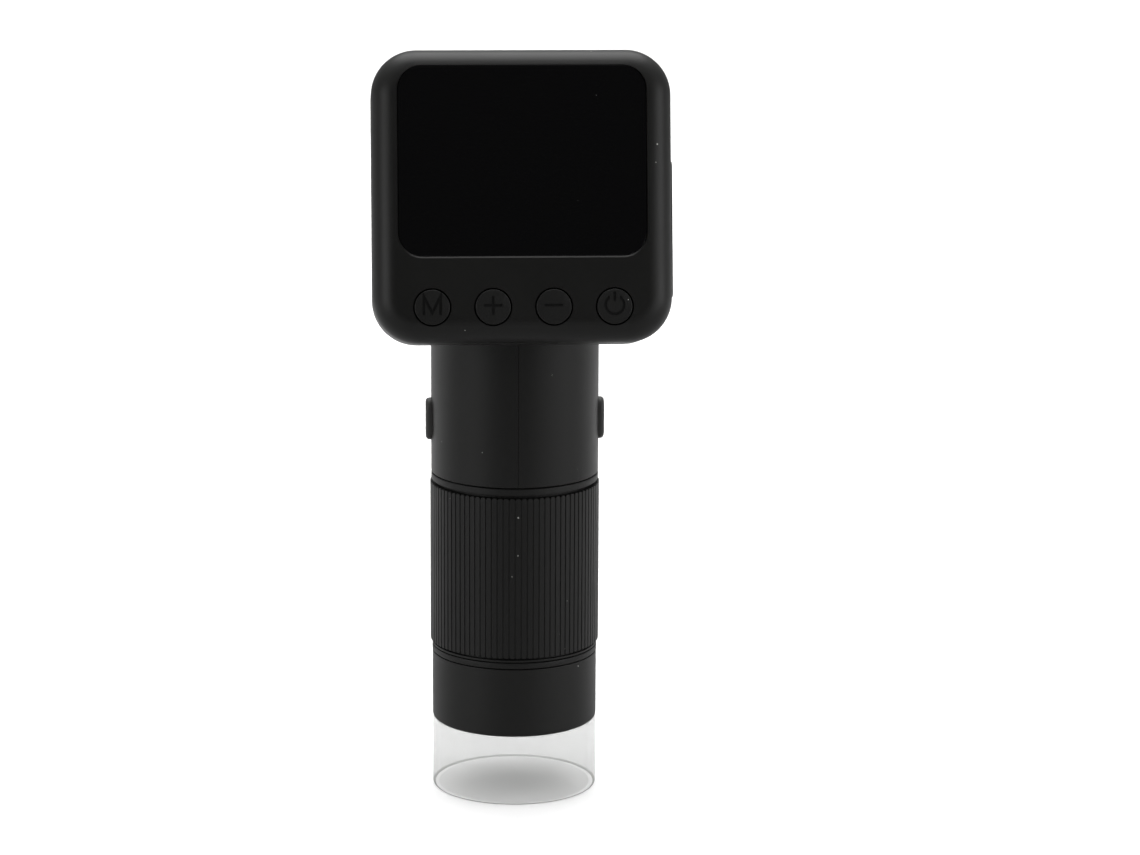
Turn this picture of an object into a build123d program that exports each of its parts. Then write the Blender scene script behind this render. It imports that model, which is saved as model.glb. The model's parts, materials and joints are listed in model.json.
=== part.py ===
from build123d import *
import os
from math import cos, radians, sin, sqrt

# Handheld LCD digital microscope.
# Millimetres, +Z up the tube's axis. The origin is the centre of the clear hood's mouth,
# in the plane that the microscope stands on. The screen faces -Y and a little upwards.

# ================================================================ driving dimensions

# Clear hood, the foot of the tube
hood_step = 0.05
hood_wall = 1.5
hood_height = 13.95
hood_shoulder = 1.6
hood_spigot_length = 3.6
hood_spigot_wall = 1.4
hood_rim_round = 0.45

# Lower barrel, which holds the lamps
lower_barrel_step = 0.2
lower_barrel_wall = 1.5
lower_barrel_length = 14.05
lower_barrel_edge = 0.9

# Focus ring, between the two barrels
ring_gap = 0.15
trim_ring_step = 0.15
trim_ring_height = 1.2
trim_ring_edge = 0.2
trim_seat_step = 0.8
grip_seat_gap = 0.15
grip_length = 33.5
grip_rib_count = 90
grip_stand_out = 0.2
grip_rib_depth = 0.35
grip_groove_width = 0.3
grip_plain_end = 0.7
grip_wall = 1.5
ring_band_height = 1.9
ring_band_edge = 0.25
washer_step = 0.5
washer_width = 0.9
washer_thickness = 0.4

# Upper barrel, two half shells; the tube's other radii are worked out from its radius
barrel_r = 16.7
barrel_wall = 1.8
barrel_length = 47.0
barrel_seam = 0.1
barrel_edge = 0.25
barrel_lip_height = 1.1
barrel_lip_gap = 0.4
barrel_foot_height = 4.6
barrel_foot_step = 1.0

# Inner sleeve, and the lens carriage that slides in it
sleeve_inset = 4.1
sleeve_wall = 1.2
sleeve_flange_height = 1.4
sleeve_flat_depth = 0.6
carriage_length = 18.8
carriage_rise = 18.5
focus_travel = 9.0
focus_turn = 150.0
guide_pin_r = 0.9
guide_pin_grip = 1.8
guide_slot_width = 2.0
cam_groove_width = 2.4
cam_groove_depth = 1.5
lens_bore_r = 4.0

# Lenses and their rings
front_lens_r = 6.0
front_lens_height = 5.0
rear_lens_r = 4.6
rear_lens_height = 3.4
lens_dome = 1.0
lens_ring_width = 0.8
lens_ring_height = 1.2

# Lamps
lamp_count = 8
lamp_inset = 4.0
lamp_r = 1.5
lamp_height = 1.6
lamp_round = 0.9
lamp_cup_lip = 1.2
lamp_cup_gap = 0.3
lamp_board_height = 1.1
lamp_band = 8.0
reflector_height = 2.0
window_disc_height = 0.8
window_disc_gap = 0.2
light_shield_wall = 0.8
light_shield_height = 6.0

# Sensor and its board
sensor_board_gap = 0.5
sensor_board_height = 1.0
sensor_size = 8.0
sensor_height = 1.1
sensor_edge = 0.25

# Battery and its cradle
battery_length = 35.0
battery_edge = 0.5
battery_stud_r = 3.0
battery_stud = 0.6
cradle_wall = 0.9
cradle_floor = 0.8
cradle_fin = 1.0
cradle_fin_length = 10.0
cradle_fin_rise = 7.5

# Side keys
key_width = 4.4
key_height = 8.5
key_stand_out = 1.1
key_edge = 0.8
key_rise = 10.55
key_travel = 0.6
key_gap = 0.25
key_flange = 0.8
key_flange_thickness = 0.7
side_board_thickness = 0.8
side_board_width = 7.2
side_board_length = 10.4

# Head, a tilted box in front of the barrel's top end
head_tilt = 13.0
head_width = 57.0
head_height = 55.7
head_thickness = 21.5
head_corner_r = 8.6
head_wall = 2.0
front_depth = 9.0
head_seam = 0.1
front_edge = 4.4
back_edge = 3.8
face_wall = 2.4
head_reach = 33.0
head_rise = 14.0

# Collar on the head's back, which takes the barrel's top end
collar_thickness = 1.9
collar_socket_depth = 14.5
collar_rise = 22.0
collar_roof_round = 7.0
collar_ledge = 2.0
collar_foot_round = 0.5

# Screen window, and what lies behind it
window_corner_r = 4.6
window_sunk = 0.35
window_thickness = 1.2
window_edge = 0.15
window_ledge = 2.6
opening_side_lap = 0.45
opening_end_lap = 1.6
opening_corner_r = 1.0
gasket_thickness = 0.5
lcd_side_margin = 7.1
lcd_top_margin = 4.18
lcd_foot_margin = 17.32
lcd_thickness = 2.4
lcd_corner_r = 0.6
tray_wall = 0.8
tray_floor = 0.6
tray_corner_r = 3.0
tray_lip = 3.2
tray_leg = 2.0
tray_leg_r = 1.2
tray_leg_inset = 1.8

# Main board; each chip has its place on the board, its width, height and thickness
board_thickness = 1.2
board_clearance = 0.4
chip_places = [
    (-10.0, 9.0, 10.0, 10.0, 1.1),
    (5.0, 9.0, 8.0, 6.0, 0.9),
    (-14.0, -9.0, 4.0, 4.0, 0.8),
    (-14.0, -16.0, 5.0, 5.0, 2.2),
]

# Face buttons
button_r = 3.32
button_gap = 0.3
button_count = 4
button_side_margin = 11.25
button_foot_margin = 6.75
button_proud = 0.1
button_edge = 0.15
button_travel = 0.5
button_flange = 0.8
button_flange_thickness = 0.8
button_stem_r = 1.5
mark_depth = 0.2
mark_stroke = 0.5
mark_size = 3.5
mark_up = 0.3
mode_mark_width = 3.15
mode_mark_dip = 3.1
power_mark_gap = 1.9
power_bar_length = 1.75
power_bar_up = 1.6

# Tactile switches, under the face buttons and the side keys
switch_size = 4.5
switch_corner_r = 0.4
switch_height = 1.6
plunger_r = 0.9
plunger_height = 0.45
press_gap = 0.05

# Ports on the head's right side
port_panel_length = 26.0
port_panel_width = 7.2
port_panel_proud = 0.4
port_panel_up = -6.2
port_panel_depth = 10.5
port_panel_corner = 1.2
port_panel_edge = 0.2
usb_length = 9.0
usb_height = 3.2
usb_depth = 7.4
usb_shell = 0.3
usb_setback = 0.2
usb_tongue_width = 6.1
usb_tongue_thickness = 0.7
usb_tongue_setback = 0.7
usb_up = 1.6
card_width = 11.4
card_slot_height = 1.0
card_socket_width = 14.0
card_socket_height = 1.9
card_socket_depth = 15.0
card_socket_back = 1.9
card_up = -11.0

# Fasteners
head_screw_inset = 4.2
head_boss_r = 1.9
head_post_r = 2.4
head_screw_head_r = 1.5
head_screw_head = 1.0
head_screw_r = 0.7
head_screw_length = 6.2
head_screw_seat = 1.4
barrel_screw_inset = 2.3
barrel_boss_r = 1.8
barrel_screw_head_r = 1.4
barrel_screw_head = 1.1
barrel_screw_r = 0.7
barrel_screw_length = 10.0
barrel_screw_seat = 5.5
barrel_screw_rises = (9.5, 26.0)
neck_screw_head_r = 1.7
neck_screw_head = 0.9
neck_screw_r = 0.8
neck_screw_length = 2.6
neck_screw_rise = 7.0
sensor_screw_r = 0.5
sensor_screw_head_r = 0.95
sensor_screw_head = 0.7
sensor_screw_inset = 0.2

# A screw's head, as shares of its height (chamfer, recess depth) or its radius (recess arms)
screw_chamfer_share = 0.25
recess_depth_share = 0.5
recess_length_share = 1.1
recess_width_share = 0.28

# Flat cables and battery leads
cable_thickness = 0.25
cable_width = 8.0
cable_bend = 1.6
cable_inset = 2.7
cable_foot = 3.8
cable_notch = 4.0
cable_rise = 4.5
lamp_cable_width = 4.0
lead_r = 0.55
lead_bend = 2.5
lead_spread = 2.2
lead_y = -3.0
lead_rise = 7.0

# Clearances
running_fit = 0.07
seat_gap = 0.05
slip_gap = 0.1
loose_gap = 0.2
screw_gap = 0.08
screw_hole_gap = 0.16
screw_end_gap = 0.3

# How far a cutting shape runs past what it cuts
cut_spare = 1.0

# ================================================================ places worked out from them

# Heights up the tube
lower_top = hood_height + lower_barrel_length
ring_bottom = lower_top + ring_gap
trim_top = ring_bottom + trim_ring_height
grip_bottom = trim_top + grip_seat_gap
grip_top = grip_bottom + grip_length
ring_top = grip_top + ring_band_height
barrel_bottom = ring_top + ring_gap
barrel_top = barrel_bottom + barrel_length
foot_top = barrel_bottom + barrel_foot_height
spigot_top = hood_height + hood_spigot_length
window_disc_bottom = spigot_top + window_disc_gap
reflector_bottom = window_disc_bottom + window_disc_height
lamp_board_bottom = reflector_bottom + reflector_height
lamp_board_top = lamp_board_bottom + lamp_board_height
flange_bottom = barrel_bottom + barrel_lip_height + seat_gap
flange_top = flange_bottom + sleeve_flange_height
sensor_board_top = flange_top + sensor_board_height
carriage_centre = lower_top + carriage_rise
carriage_bottom = carriage_centre - carriage_length / 2
carriage_top = carriage_centre + carriage_length / 2
battery_bottom = foot_top + cradle_floor
battery_top = battery_bottom + battery_length
cradle_top = battery_top - cradle_wall
fin_bottom = battery_bottom + cradle_fin_rise
key_centre = barrel_bottom + key_rise
collar_bottom = barrel_top - collar_socket_depth
collar_top = barrel_top + collar_rise
ledge_top = barrel_top + collar_ledge
face_height = barrel_top + head_rise

# Radii about the tube's axis, and how far from it some pieces are
lower_barrel_r = barrel_r - lower_barrel_step
hood_outer_r = lower_barrel_r - hood_step
hood_bore_r = hood_outer_r - hood_wall
lower_bore_r = lower_barrel_r - lower_barrel_wall
lower_mid_wall_r = lower_barrel_r - lower_barrel_wall / 2
spigot_r = lower_bore_r - running_fit
spigot_bore_r = spigot_r - hood_spigot_wall
barrel_bore_r = barrel_r - barrel_wall
barrel_mid_wall_r = barrel_r - barrel_wall / 2
barrel_foot_bore_r = barrel_bore_r - barrel_foot_step
barrel_screw_y = barrel_bore_r - barrel_screw_inset
cable_drop_y = barrel_bore_r - cable_inset
sensor_board_r = barrel_foot_bore_r - sensor_board_gap
sleeve_outer_r = barrel_r - sleeve_inset
sleeve_bore_r = sleeve_outer_r - sleeve_wall
barrel_lip_bore_r = sleeve_outer_r + barrel_lip_gap
sensor_screw_ring_r = sleeve_outer_r - sensor_screw_inset
washer_bore_r = sleeve_outer_r + washer_step
washer_r = washer_bore_r + washer_width
sleeve_flange_r = barrel_bore_r - seat_gap
carriage_r = sleeve_bore_r - running_fit
core_bore_r = sleeve_outer_r + running_fit
grip_crest_r = barrel_r + grip_stand_out
grip_base_r = grip_crest_r - grip_rib_depth
grip_bore_r = grip_base_r - grip_wall
core_r = grip_bore_r - seat_gap
trim_ring_r = barrel_r - trim_ring_step
trim_seat_r = core_r - trim_seat_step
lamp_ring_r = lower_bore_r - lamp_inset
lamp_board_bore_r = lower_bore_r - lamp_band
shield_r = lamp_board_bore_r - seat_gap
socket_r = barrel_r + slip_gap
collar_r = barrel_r + collar_thickness
collar_hollow_r = collar_r - head_wall

# Side keys, from the middle of the tube outwards
key_flange_reach = key_width / 2 + key_flange
key_shoulder = sqrt(barrel_bore_r**2 - key_flange_reach**2) - slip_gap
key_inner = key_shoulder - key_flange_thickness
side_switch_x = key_inner - key_travel - press_gap - plunger_height - switch_height

# Battery and cradle, which fit between the boards behind the side keys
cradle_r = side_switch_x - side_board_thickness - slip_gap
cradle_bore_r = cradle_r - cradle_wall
battery_r = cradle_bore_r - slip_gap

# The face plane: its origin is the middle of the head's front, and local Z points out of it
head_slope = radians(head_tilt)
face_plane = Plane(
    origin=(0, -head_reach, face_height),
    x_dir=(1, 0, 0),
    z_dir=(0, -cos(head_slope), sin(head_slope)),
)
face_axis = Axis(face_plane.origin, face_plane.z_dir)

# Depths behind the face
ledge_depth = window_sunk + window_thickness + seat_gap
gasket_back = face_wall + gasket_thickness
lcd_back = gasket_back + lcd_thickness
tray_back = lcd_back + tray_floor
board_front = tray_back + tray_leg
board_back = board_front + board_thickness
switch_front = board_front - switch_height - plunger_height
button_back = switch_front - button_travel - press_gap
flange_front = face_wall + press_gap
screw_seat_depth = front_depth + head_screw_seat

# Sizes across the head
half_width = head_width / 2
cavity_width = head_width - 2 * head_wall
cavity_height = head_height - 2 * head_wall
cavity_corner_r = head_corner_r - head_wall
lcd_width = head_width - 2 * lcd_side_margin
lcd_height = head_height - lcd_top_margin - lcd_foot_margin
window_up = (lcd_foot_margin - lcd_top_margin) / 2
opening_width = lcd_width - 2 * opening_side_lap
opening_height = lcd_height - 2 * opening_end_lap
window_width = opening_width + 2 * window_ledge
window_height = opening_height + 2 * window_ledge
tray_width = lcd_width + 2 * (seat_gap + tray_wall)
tray_height = lcd_height + 2 * (seat_gap + tray_wall)
screw_spots = [
    (side * (half_width - head_screw_inset), level * (head_height / 2 - head_screw_inset))
    for side in (-1, 1)
    for level in (-1, 1)
]
button_row = head_width - 2 * button_side_margin
button_down = head_height / 2 - button_foot_margin
button_spots = [
    (button_row * (place / (button_count - 1) - 1 / 2), -button_down)
    for place in range(button_count)
]

# The side plane: it lies on the head's right side, local X runs up the face and
# local Y comes forward, so a place is (up, -depth)
side_plane = Plane(
    origin=(half_width, -head_reach, face_height),
    x_dir=face_plane.y_dir,
    z_dir=(1, 0, 0),
)
panel_spot = (port_panel_up, -port_panel_depth)
usb_spot = (usb_up, -board_back - usb_height / 2)
card_spot = (card_up, -board_back - card_socket_height / 2)


# ================================================================ shapes used more than once


def behind(depth):
    """Return the plane parallel to the face, at a depth inside the head."""
    return face_plane.offset(-depth)


def facing(depth, spot):
    """Return the plane at a depth and a spot of the head that looks out of the front."""
    place = behind(depth).from_local_coords((spot[0], spot[1], 0))
    return Plane(place, x_dir=(1, 0, 0), z_dir=face_plane.z_dir)


def from_back(depth, spot):
    """Return the plane at a depth and a spot of the head that looks out of the back."""
    place = behind(depth).from_local_coords((spot[0], spot[1], 0))
    return Plane(place, x_dir=(1, 0, 0), z_dir=-face_plane.z_dir)


def key_plane(side, reach):
    """Return the plane across one side key, with local X up the tube and Z outwards."""
    return Plane(origin=(side * reach, 0, key_centre), x_dir=(0, 0, 1), z_dir=(side, 0, 0))


def neck_plane(side):
    """Return the plane that a neck screw's head stands on, in the collar's side."""
    return Plane(
        origin=(side * (collar_r - neck_screw_head), 0, collar_bottom + neck_screw_rise),
        x_dir=(0, 0, 1),
        z_dir=(side, 0, 0),
    )


def board_y(height):
    """Return where the main board's back is, at a height."""
    up = (height - face_height + board_back * sin(head_slope)) / cos(head_slope)
    return -head_reach + up * sin(head_slope) + board_back * cos(head_slope)


def ring(outer_r, inner_r, low, high):
    """Return a plain ring about the tube's axis, or a disc where inner_r is 0."""
    with BuildPart() as made:
        with BuildSketch(Plane.XY.offset(low)):
            Circle(outer_r)
            if inner_r > 0:
                Circle(inner_r, mode=Mode.SUBTRACT)
        extrude(amount=high - low)
    return made.part


def head_block(width, height, corner_r, front, back, up=0.0):
    """Return a round-cornered block in the head, between two depths."""
    with BuildPart() as made:
        with BuildSketch(behind(front)):
            with Locations((0, up)):
                RectangleRounded(width, height, corner_r)
        extrude(amount=front - back)
    return made.part


def screen_opening(front, back):
    """Return the block that is cut away in front of the display, between two depths."""
    return head_block(opening_width, opening_height, opening_corner_r, front, back, window_up)


def head_rods(rod_r, front, back):
    """Return four rods at the head's screws, between two depths."""
    with BuildPart() as made:
        with BuildSketch(behind(front)):
            with Locations(*screw_spots):
                Circle(rod_r)
        extrude(amount=front - back)
    return made.part


def screw(plane, head_r, head_height, shank_r, shank_length):
    """Return a cross-head screw: its head stands on the plane, and its shank goes down."""
    with BuildPart() as made:
        with BuildSketch(plane):
            Circle(head_r)
        extrude(amount=head_height)
        head_top = made.faces().sort_by(Axis(plane.origin, plane.z_dir))[-1]
        chamfer(head_top.edges(), head_height * screw_chamfer_share)
        with BuildSketch(plane.offset(head_height)):
            Rectangle(head_r * recess_length_share, head_r * recess_width_share)
            Rectangle(head_r * recess_width_share, head_r * recess_length_share)
        extrude(amount=-head_height * recess_depth_share, mode=Mode.SUBTRACT)
        with BuildSketch(plane):
            Circle(shank_r)
        extrude(amount=-shank_length)
    return made.part


def switch(plane):
    """Return a small tactile switch that stands on the plane."""
    with BuildPart() as made:
        with BuildSketch(plane):
            RectangleRounded(switch_size, switch_size, switch_corner_r)
        extrude(amount=switch_height)
        with BuildSketch(plane.offset(switch_height)):
            Circle(plunger_r)
        extrude(amount=plunger_height)
    return made.part


def lens(lens_r, low, high, dome_down):
    """Return a lens with one flat end and one domed end."""
    base, tip = (high, low) if dome_down else (low, high)
    rim = tip + lens_dome if dome_down else tip - lens_dome
    chord = lens_r**2 + lens_dome**2
    dome_r = chord / 2 / lens_dome
    half_x = lens_r / 2
    half_sag = dome_r - sqrt(dome_r**2 - half_x**2)
    half_z = tip + half_sag if dome_down else tip - half_sag
    with BuildPart() as made:
        with BuildSketch(Plane.XZ):
            with BuildLine():
                Polyline((0, tip), (0, base), (lens_r, base), (lens_r, rim))
                ThreePointArc((lens_r, rim), (half_x, half_z), (0, tip))
            make_face()
        revolve(axis=Axis.Z)
    return made.part


def flat_cable(points, bend, width):
    """Return a flat cable along points (y, z) in the middle plane of the tube."""
    with BuildPart() as made:
        with BuildSketch(Plane.YZ):
            with BuildLine():
                FilletPolyline(*points, radius=bend)
            trace(line_width=cable_thickness)
        extrude(amount=width / 2, both=True)
    return made.part


def side_key(side):
    """Return the key on one side of the upper barrel, with the flange that keeps it in."""
    with BuildPart() as made:
        with BuildSketch(key_plane(side, key_shoulder)):
            SlotOverall(key_height, key_width)
        extrude(amount=barrel_r + key_stand_out - key_shoulder)
        fillet(made.faces().sort_by(Axis((0, 0, 0), (side, 0, 0)))[-1].edges(), key_edge)
        with BuildSketch(key_plane(side, key_inner)):
            SlotOverall(key_height + 2 * key_flange, key_width + 2 * key_flange)
        extrude(amount=key_flange_thickness)
    return made.part


def face_button(spot, mark):
    """Return a face button with its mark cut into the cap."""
    with BuildPart() as made:
        with BuildSketch(facing(-button_proud, spot)):
            Circle(button_r)
        extrude(amount=-button_proud - flange_front)
        fillet(made.faces().sort_by(face_axis)[-1].edges(), button_edge)
        with BuildSketch(facing(flange_front, spot)):
            Circle(button_r + button_flange)
        extrude(amount=-button_flange_thickness)
        with BuildSketch(facing(flange_front, spot)):
            Circle(button_stem_r)
        extrude(amount=flange_front - button_back)
        with BuildSketch(facing(-button_proud, spot)):
            with Locations((0, mark_up)):
                add(mark)
        extrude(amount=-mark_depth, mode=Mode.SUBTRACT)
    return made.part


def barrel_boss(side, height):
    """Return a screw boss inside one half of the upper barrel."""
    with BuildPart() as made:
        with BuildSketch(Plane.YZ.offset(side * barrel_seam / 2)):
            with Locations((barrel_screw_y, height)):
                Circle(barrel_boss_r)
        extrude(amount=side * barrel_r)
        add(ring(barrel_mid_wall_r, 0, barrel_bottom, barrel_top), mode=Mode.INTERSECT)
    return made.part


# ================================================================ the tube's lower end

# Clear hood: a cup without a floor, whose spigot pushes into the lower barrel
with BuildPart() as hood:
    add(ring(hood_outer_r, hood_bore_r, 0, hood_height))
    add(ring(hood_outer_r, spigot_bore_r, hood_height - hood_shoulder, hood_height))
    add(ring(spigot_r, spigot_bore_r, hood_height - hood_shoulder, spigot_top))
    rim_edge = hood.edges().group_by(Axis.Z)[0].sort_by(SortBy.RADIUS)[-1]
    fillet(rim_edge, hood_rim_round)
hood.part.label = "hood"

# Lower barrel: it closes the lamp chamber and is fixed on the inner sleeve
washer_recess = washer_thickness - ring_gap
with BuildPart() as lower_barrel:
    add(ring(lower_barrel_r, lower_bore_r, hood_height, lower_top))
    foot_edge = lower_barrel.edges().group_by(Axis.Z)[0].sort_by(SortBy.RADIUS)[-1]
    fillet(foot_edge, lower_barrel_edge)
    add(ring(lower_mid_wall_r, sleeve_outer_r + seat_gap, lamp_board_top, lower_top))
    add(
        ring(washer_r + seat_gap, core_bore_r, lower_top - washer_recess, lower_top),
        mode=Mode.SUBTRACT,
    )
lower_barrel.part.label = "lower_barrel"

# Clear disc that keeps dust out of the optics
with BuildPart() as window_disc:
    add(ring(lower_bore_r - seat_gap, 0, window_disc_bottom, reflector_bottom))
window_disc.part.label = "window_disc"

# White reflector ring, with a cup for each lamp
with BuildPart() as lamp_reflector:
    add(ring(lower_bore_r - seat_gap, lamp_board_bore_r, reflector_bottom, lamp_board_bottom))
    with Locations(Plane.XY.offset(reflector_bottom)):
        with PolarLocations(lamp_ring_r, lamp_count):
            Cone(
                lamp_r + lamp_cup_lip,
                lamp_r + lamp_cup_gap,
                reflector_height,
                align=(Align.CENTER, Align.CENTER, Align.MIN),
                mode=Mode.SUBTRACT,
            )
lamp_reflector.part.label = "lamp_reflector"

# Lamp board, and its ring of lamps, which shine down
with BuildPart() as lamp_board:
    add(ring(lower_bore_r - seat_gap, lamp_board_bore_r, lamp_board_bottom, lamp_board_top))
lamp_board.part.label = "lamp_board"

with BuildPart() as lamps:
    with BuildSketch(Plane.XY.offset(lamp_board_bottom)):
        with PolarLocations(lamp_ring_r, lamp_count):
            Circle(lamp_r)
    extrude(amount=-lamp_height)
    fillet(lamps.edges().group_by(Axis.Z)[0], lamp_round)
lamps.part.label = "lamps"

# Black tube that keeps the lamps' light out of the lens
with BuildPart() as light_shield:
    shield_bore_r = shield_r - light_shield_wall
    add(ring(shield_r, shield_bore_r, reflector_bottom, reflector_bottom + light_shield_height))
    add(ring(
        shield_r + light_shield_wall,
        shield_bore_r,
        lamp_board_top,
        lamp_board_top + light_shield_wall,
    ))
light_shield.part.label = "light_shield"

# ================================================================ focus ring and optics

# Inner sleeve: the fixed spine that joins both barrels, with two straight guide slots
slot_length = 2 * (focus_travel + guide_slot_width / 2 + seat_gap)
with BuildPart() as inner_sleeve:
    add(ring(sleeve_outer_r, sleeve_bore_r, lamp_board_top + seat_gap, flange_bottom))
    add(ring(sleeve_flange_r, sleeve_bore_r, flange_bottom, flange_top))
    with BuildSketch(Plane.YZ):
        with Locations((0, carriage_centre)):
            SlotOverall(slot_length, guide_slot_width, rotation=90)
    extrude(amount=barrel_r, both=True, mode=Mode.SUBTRACT)
    with BuildSketch(Plane.XY.offset(lamp_board_top)):
        with Locations((0, sleeve_outer_r)):
            Rectangle(lamp_cable_width + loose_gap, 2 * sleeve_flat_depth)
    extrude(amount=flange_top - lamp_board_top, mode=Mode.SUBTRACT)
    with BuildSketch(Plane.XY.offset(flange_bottom)):
        with PolarLocations(sensor_screw_ring_r, 2):
            Circle(sensor_screw_r + screw_gap)
    extrude(amount=sleeve_flange_height, mode=Mode.SUBTRACT)
inner_sleeve.part.label = "inner_sleeve"

# Focus ring core: it turns on the sleeve, and its two cam grooves drive the guide pins
cam_lead = 360 * focus_travel / focus_turn
cam_height = 2 * focus_travel + 2 * cam_groove_width
with BuildPart() as cam_groove:
    with BuildLine() as cam_line:
        Helix(cam_lead, cam_height, core_bore_r)
    cam_start = Plane(origin=cam_line.line @ 0, x_dir=(1, 0, 0), z_dir=cam_line.line % 0)
    with BuildSketch(cam_start):
        Rectangle(2 * cam_groove_depth, cam_groove_width)
    sweep(is_frenet=True)

with BuildPart() as ring_core:
    add(ring(trim_seat_r - seat_gap, core_bore_r, ring_bottom, trim_top))
    add(ring(core_r, core_bore_r, trim_top, grip_top))
    add(ring(barrel_r, core_bore_r, grip_top, ring_top))
    top_edge = ring_core.edges().group_by(Axis.Z)[-1].sort_by(SortBy.RADIUS)[-1]
    fillet(top_edge, ring_band_edge)
    with Locations((0, 0, carriage_centre - cam_height / 2)):
        for start in (0, 180):
            turn = start - cam_height / 2 / cam_lead * 360
            add(cam_groove.part, rotation=(0, 0, turn), mode=Mode.SUBTRACT)
ring_core.part.label = "ring_core"

# Ribbed grip, which slides on the core from below
rib_bottom = grip_bottom + grip_plain_end
rib_top = grip_top - grip_plain_end
with BuildPart() as focus_grip:
    add(ring(grip_base_r, grip_bore_r, grip_bottom, grip_top))
    with BuildSketch(Plane.XY.offset(rib_bottom)):
        Circle(grip_crest_r)
        with PolarLocations(grip_crest_r, grip_rib_count):
            Rectangle(2 * grip_rib_depth, grip_groove_width, mode=Mode.SUBTRACT)
        Circle(grip_base_r - grip_wall / 2, mode=Mode.SUBTRACT)
    extrude(amount=rib_top - rib_bottom)
focus_grip.part.label = "focus_grip"

# Trim ring, pressed on the core's lower end, which keeps the grip on
with BuildPart() as trim_ring:
    add(ring(trim_ring_r, trim_seat_r, ring_bottom, trim_top))
    outer_edges = trim_ring.edges().filter_by(GeomType.CIRCLE).sort_by(SortBy.RADIUS)[-2:]
    fillet(outer_edges, trim_ring_edge)
trim_ring.part.label = "trim_ring"

# Two sliding washers, one at each end of the focus ring
with BuildPart() as ring_washers:
    add(ring(washer_r, washer_bore_r, lower_top - washer_recess, ring_bottom))
    add(ring(washer_r, washer_bore_r, ring_top, barrel_bottom + washer_recess))
ring_washers.part.label = "ring_washers"

# Lens carriage: it slides in the sleeve and never turns
front_pocket = front_lens_height + lens_ring_height
rear_pocket = rear_lens_height + lens_ring_height
with BuildPart() as lens_carriage:
    add(ring(carriage_r, lens_bore_r, carriage_bottom, carriage_top))
    add(
        ring(front_lens_r + seat_gap, 0, carriage_bottom, carriage_bottom + front_pocket),
        mode=Mode.SUBTRACT,
    )
    add(
        ring(rear_lens_r + seat_gap, 0, carriage_top - rear_pocket, carriage_top),
        mode=Mode.SUBTRACT,
    )
    with BuildSketch(Plane.YZ):
        with Locations((0, carriage_centre)):
            Circle(guide_pin_r)
    extrude(amount=barrel_r, both=True, mode=Mode.SUBTRACT)
lens_carriage.part.label = "lens_carriage"

with BuildPart() as front_lens:
    front_lens_low = carriage_bottom + lens_ring_height
    add(lens(front_lens_r, front_lens_low, front_lens_low + front_lens_height, True))
front_lens.part.label = "front_lens"

with BuildPart() as rear_lens:
    rear_lens_high = carriage_top - lens_ring_height
    add(lens(rear_lens_r, rear_lens_high - rear_lens_height, rear_lens_high, False))
rear_lens.part.label = "rear_lens"

# Rings that hold the two lenses in the carriage
with BuildPart() as lens_rings:
    add(ring(
        front_lens_r, front_lens_r - lens_ring_width, carriage_bottom, front_lens_low
    ))
    add(ring(rear_lens_r, rear_lens_r - lens_ring_width, rear_lens_high, carriage_top))
lens_rings.part.label = "lens_rings"

# Two guide pins, through the sleeve's slots into the ring's cam grooves
with BuildPart() as guide_pins:
    pin_start = carriage_r - guide_pin_grip
    pin_end = core_bore_r + cam_groove_depth - loose_gap
    for side in (-1, 1):
        with BuildSketch(Plane.YZ.offset(side * pin_start)):
            with Locations((0, carriage_centre)):
                Circle(guide_pin_r)
        extrude(amount=side * (pin_end - pin_start))
guide_pins.part.label = "guide_pins"

# ================================================================ upper barrel

# The whole tube, before it is parted into two halves
with BuildPart() as barrel_tube:
    add(ring(barrel_r, barrel_bore_r, barrel_bottom, barrel_top))
    foot_edge = barrel_tube.edges().group_by(Axis.Z)[0].sort_by(SortBy.RADIUS)[-1]
    fillet(foot_edge, barrel_edge)
    lip_top = barrel_bottom + barrel_lip_height
    add(ring(barrel_mid_wall_r, barrel_lip_bore_r, barrel_bottom, lip_top))
    add(ring(barrel_mid_wall_r, barrel_foot_bore_r, flange_top + seat_gap, foot_top))
    add(
        ring(washer_r + seat_gap, 0, barrel_bottom, barrel_bottom + washer_recess),
        mode=Mode.SUBTRACT,
    )
    for side in (-1, 1):
        with BuildSketch(key_plane(side, key_shoulder)):
            SlotOverall(key_height + 2 * key_gap, key_width + 2 * key_gap)
        extrude(amount=barrel_r, mode=Mode.SUBTRACT)
    with BuildSketch(Plane.YZ):
        with Locations((0, collar_bottom + neck_screw_rise)):
            Circle(neck_screw_r + screw_gap)
    extrude(amount=barrel_r, both=True, mode=Mode.SUBTRACT)

barrel_screw_heights = [barrel_bottom + rise for rise in barrel_screw_rises]
barrel_screw_spots = [(barrel_screw_y, height) for height in barrel_screw_heights]

# Left half: its bosses take the screws' threads
with BuildPart() as upper_barrel_left:
    add(barrel_tube.part)
    split(bisect_by=Plane.YZ.offset(-barrel_seam / 2), keep=Keep.BOTTOM)
    for height in barrel_screw_heights:
        add(barrel_boss(-1, height))
    screw_end = barrel_screw_seat - barrel_screw_length - screw_end_gap
    with BuildSketch(Plane.YZ.offset(screw_end)):
        with Locations(*barrel_screw_spots):
            Circle(barrel_screw_r + screw_gap)
    extrude(amount=barrel_screw_length, mode=Mode.SUBTRACT)
upper_barrel_left.part.label = "upper_barrel_left"

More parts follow.
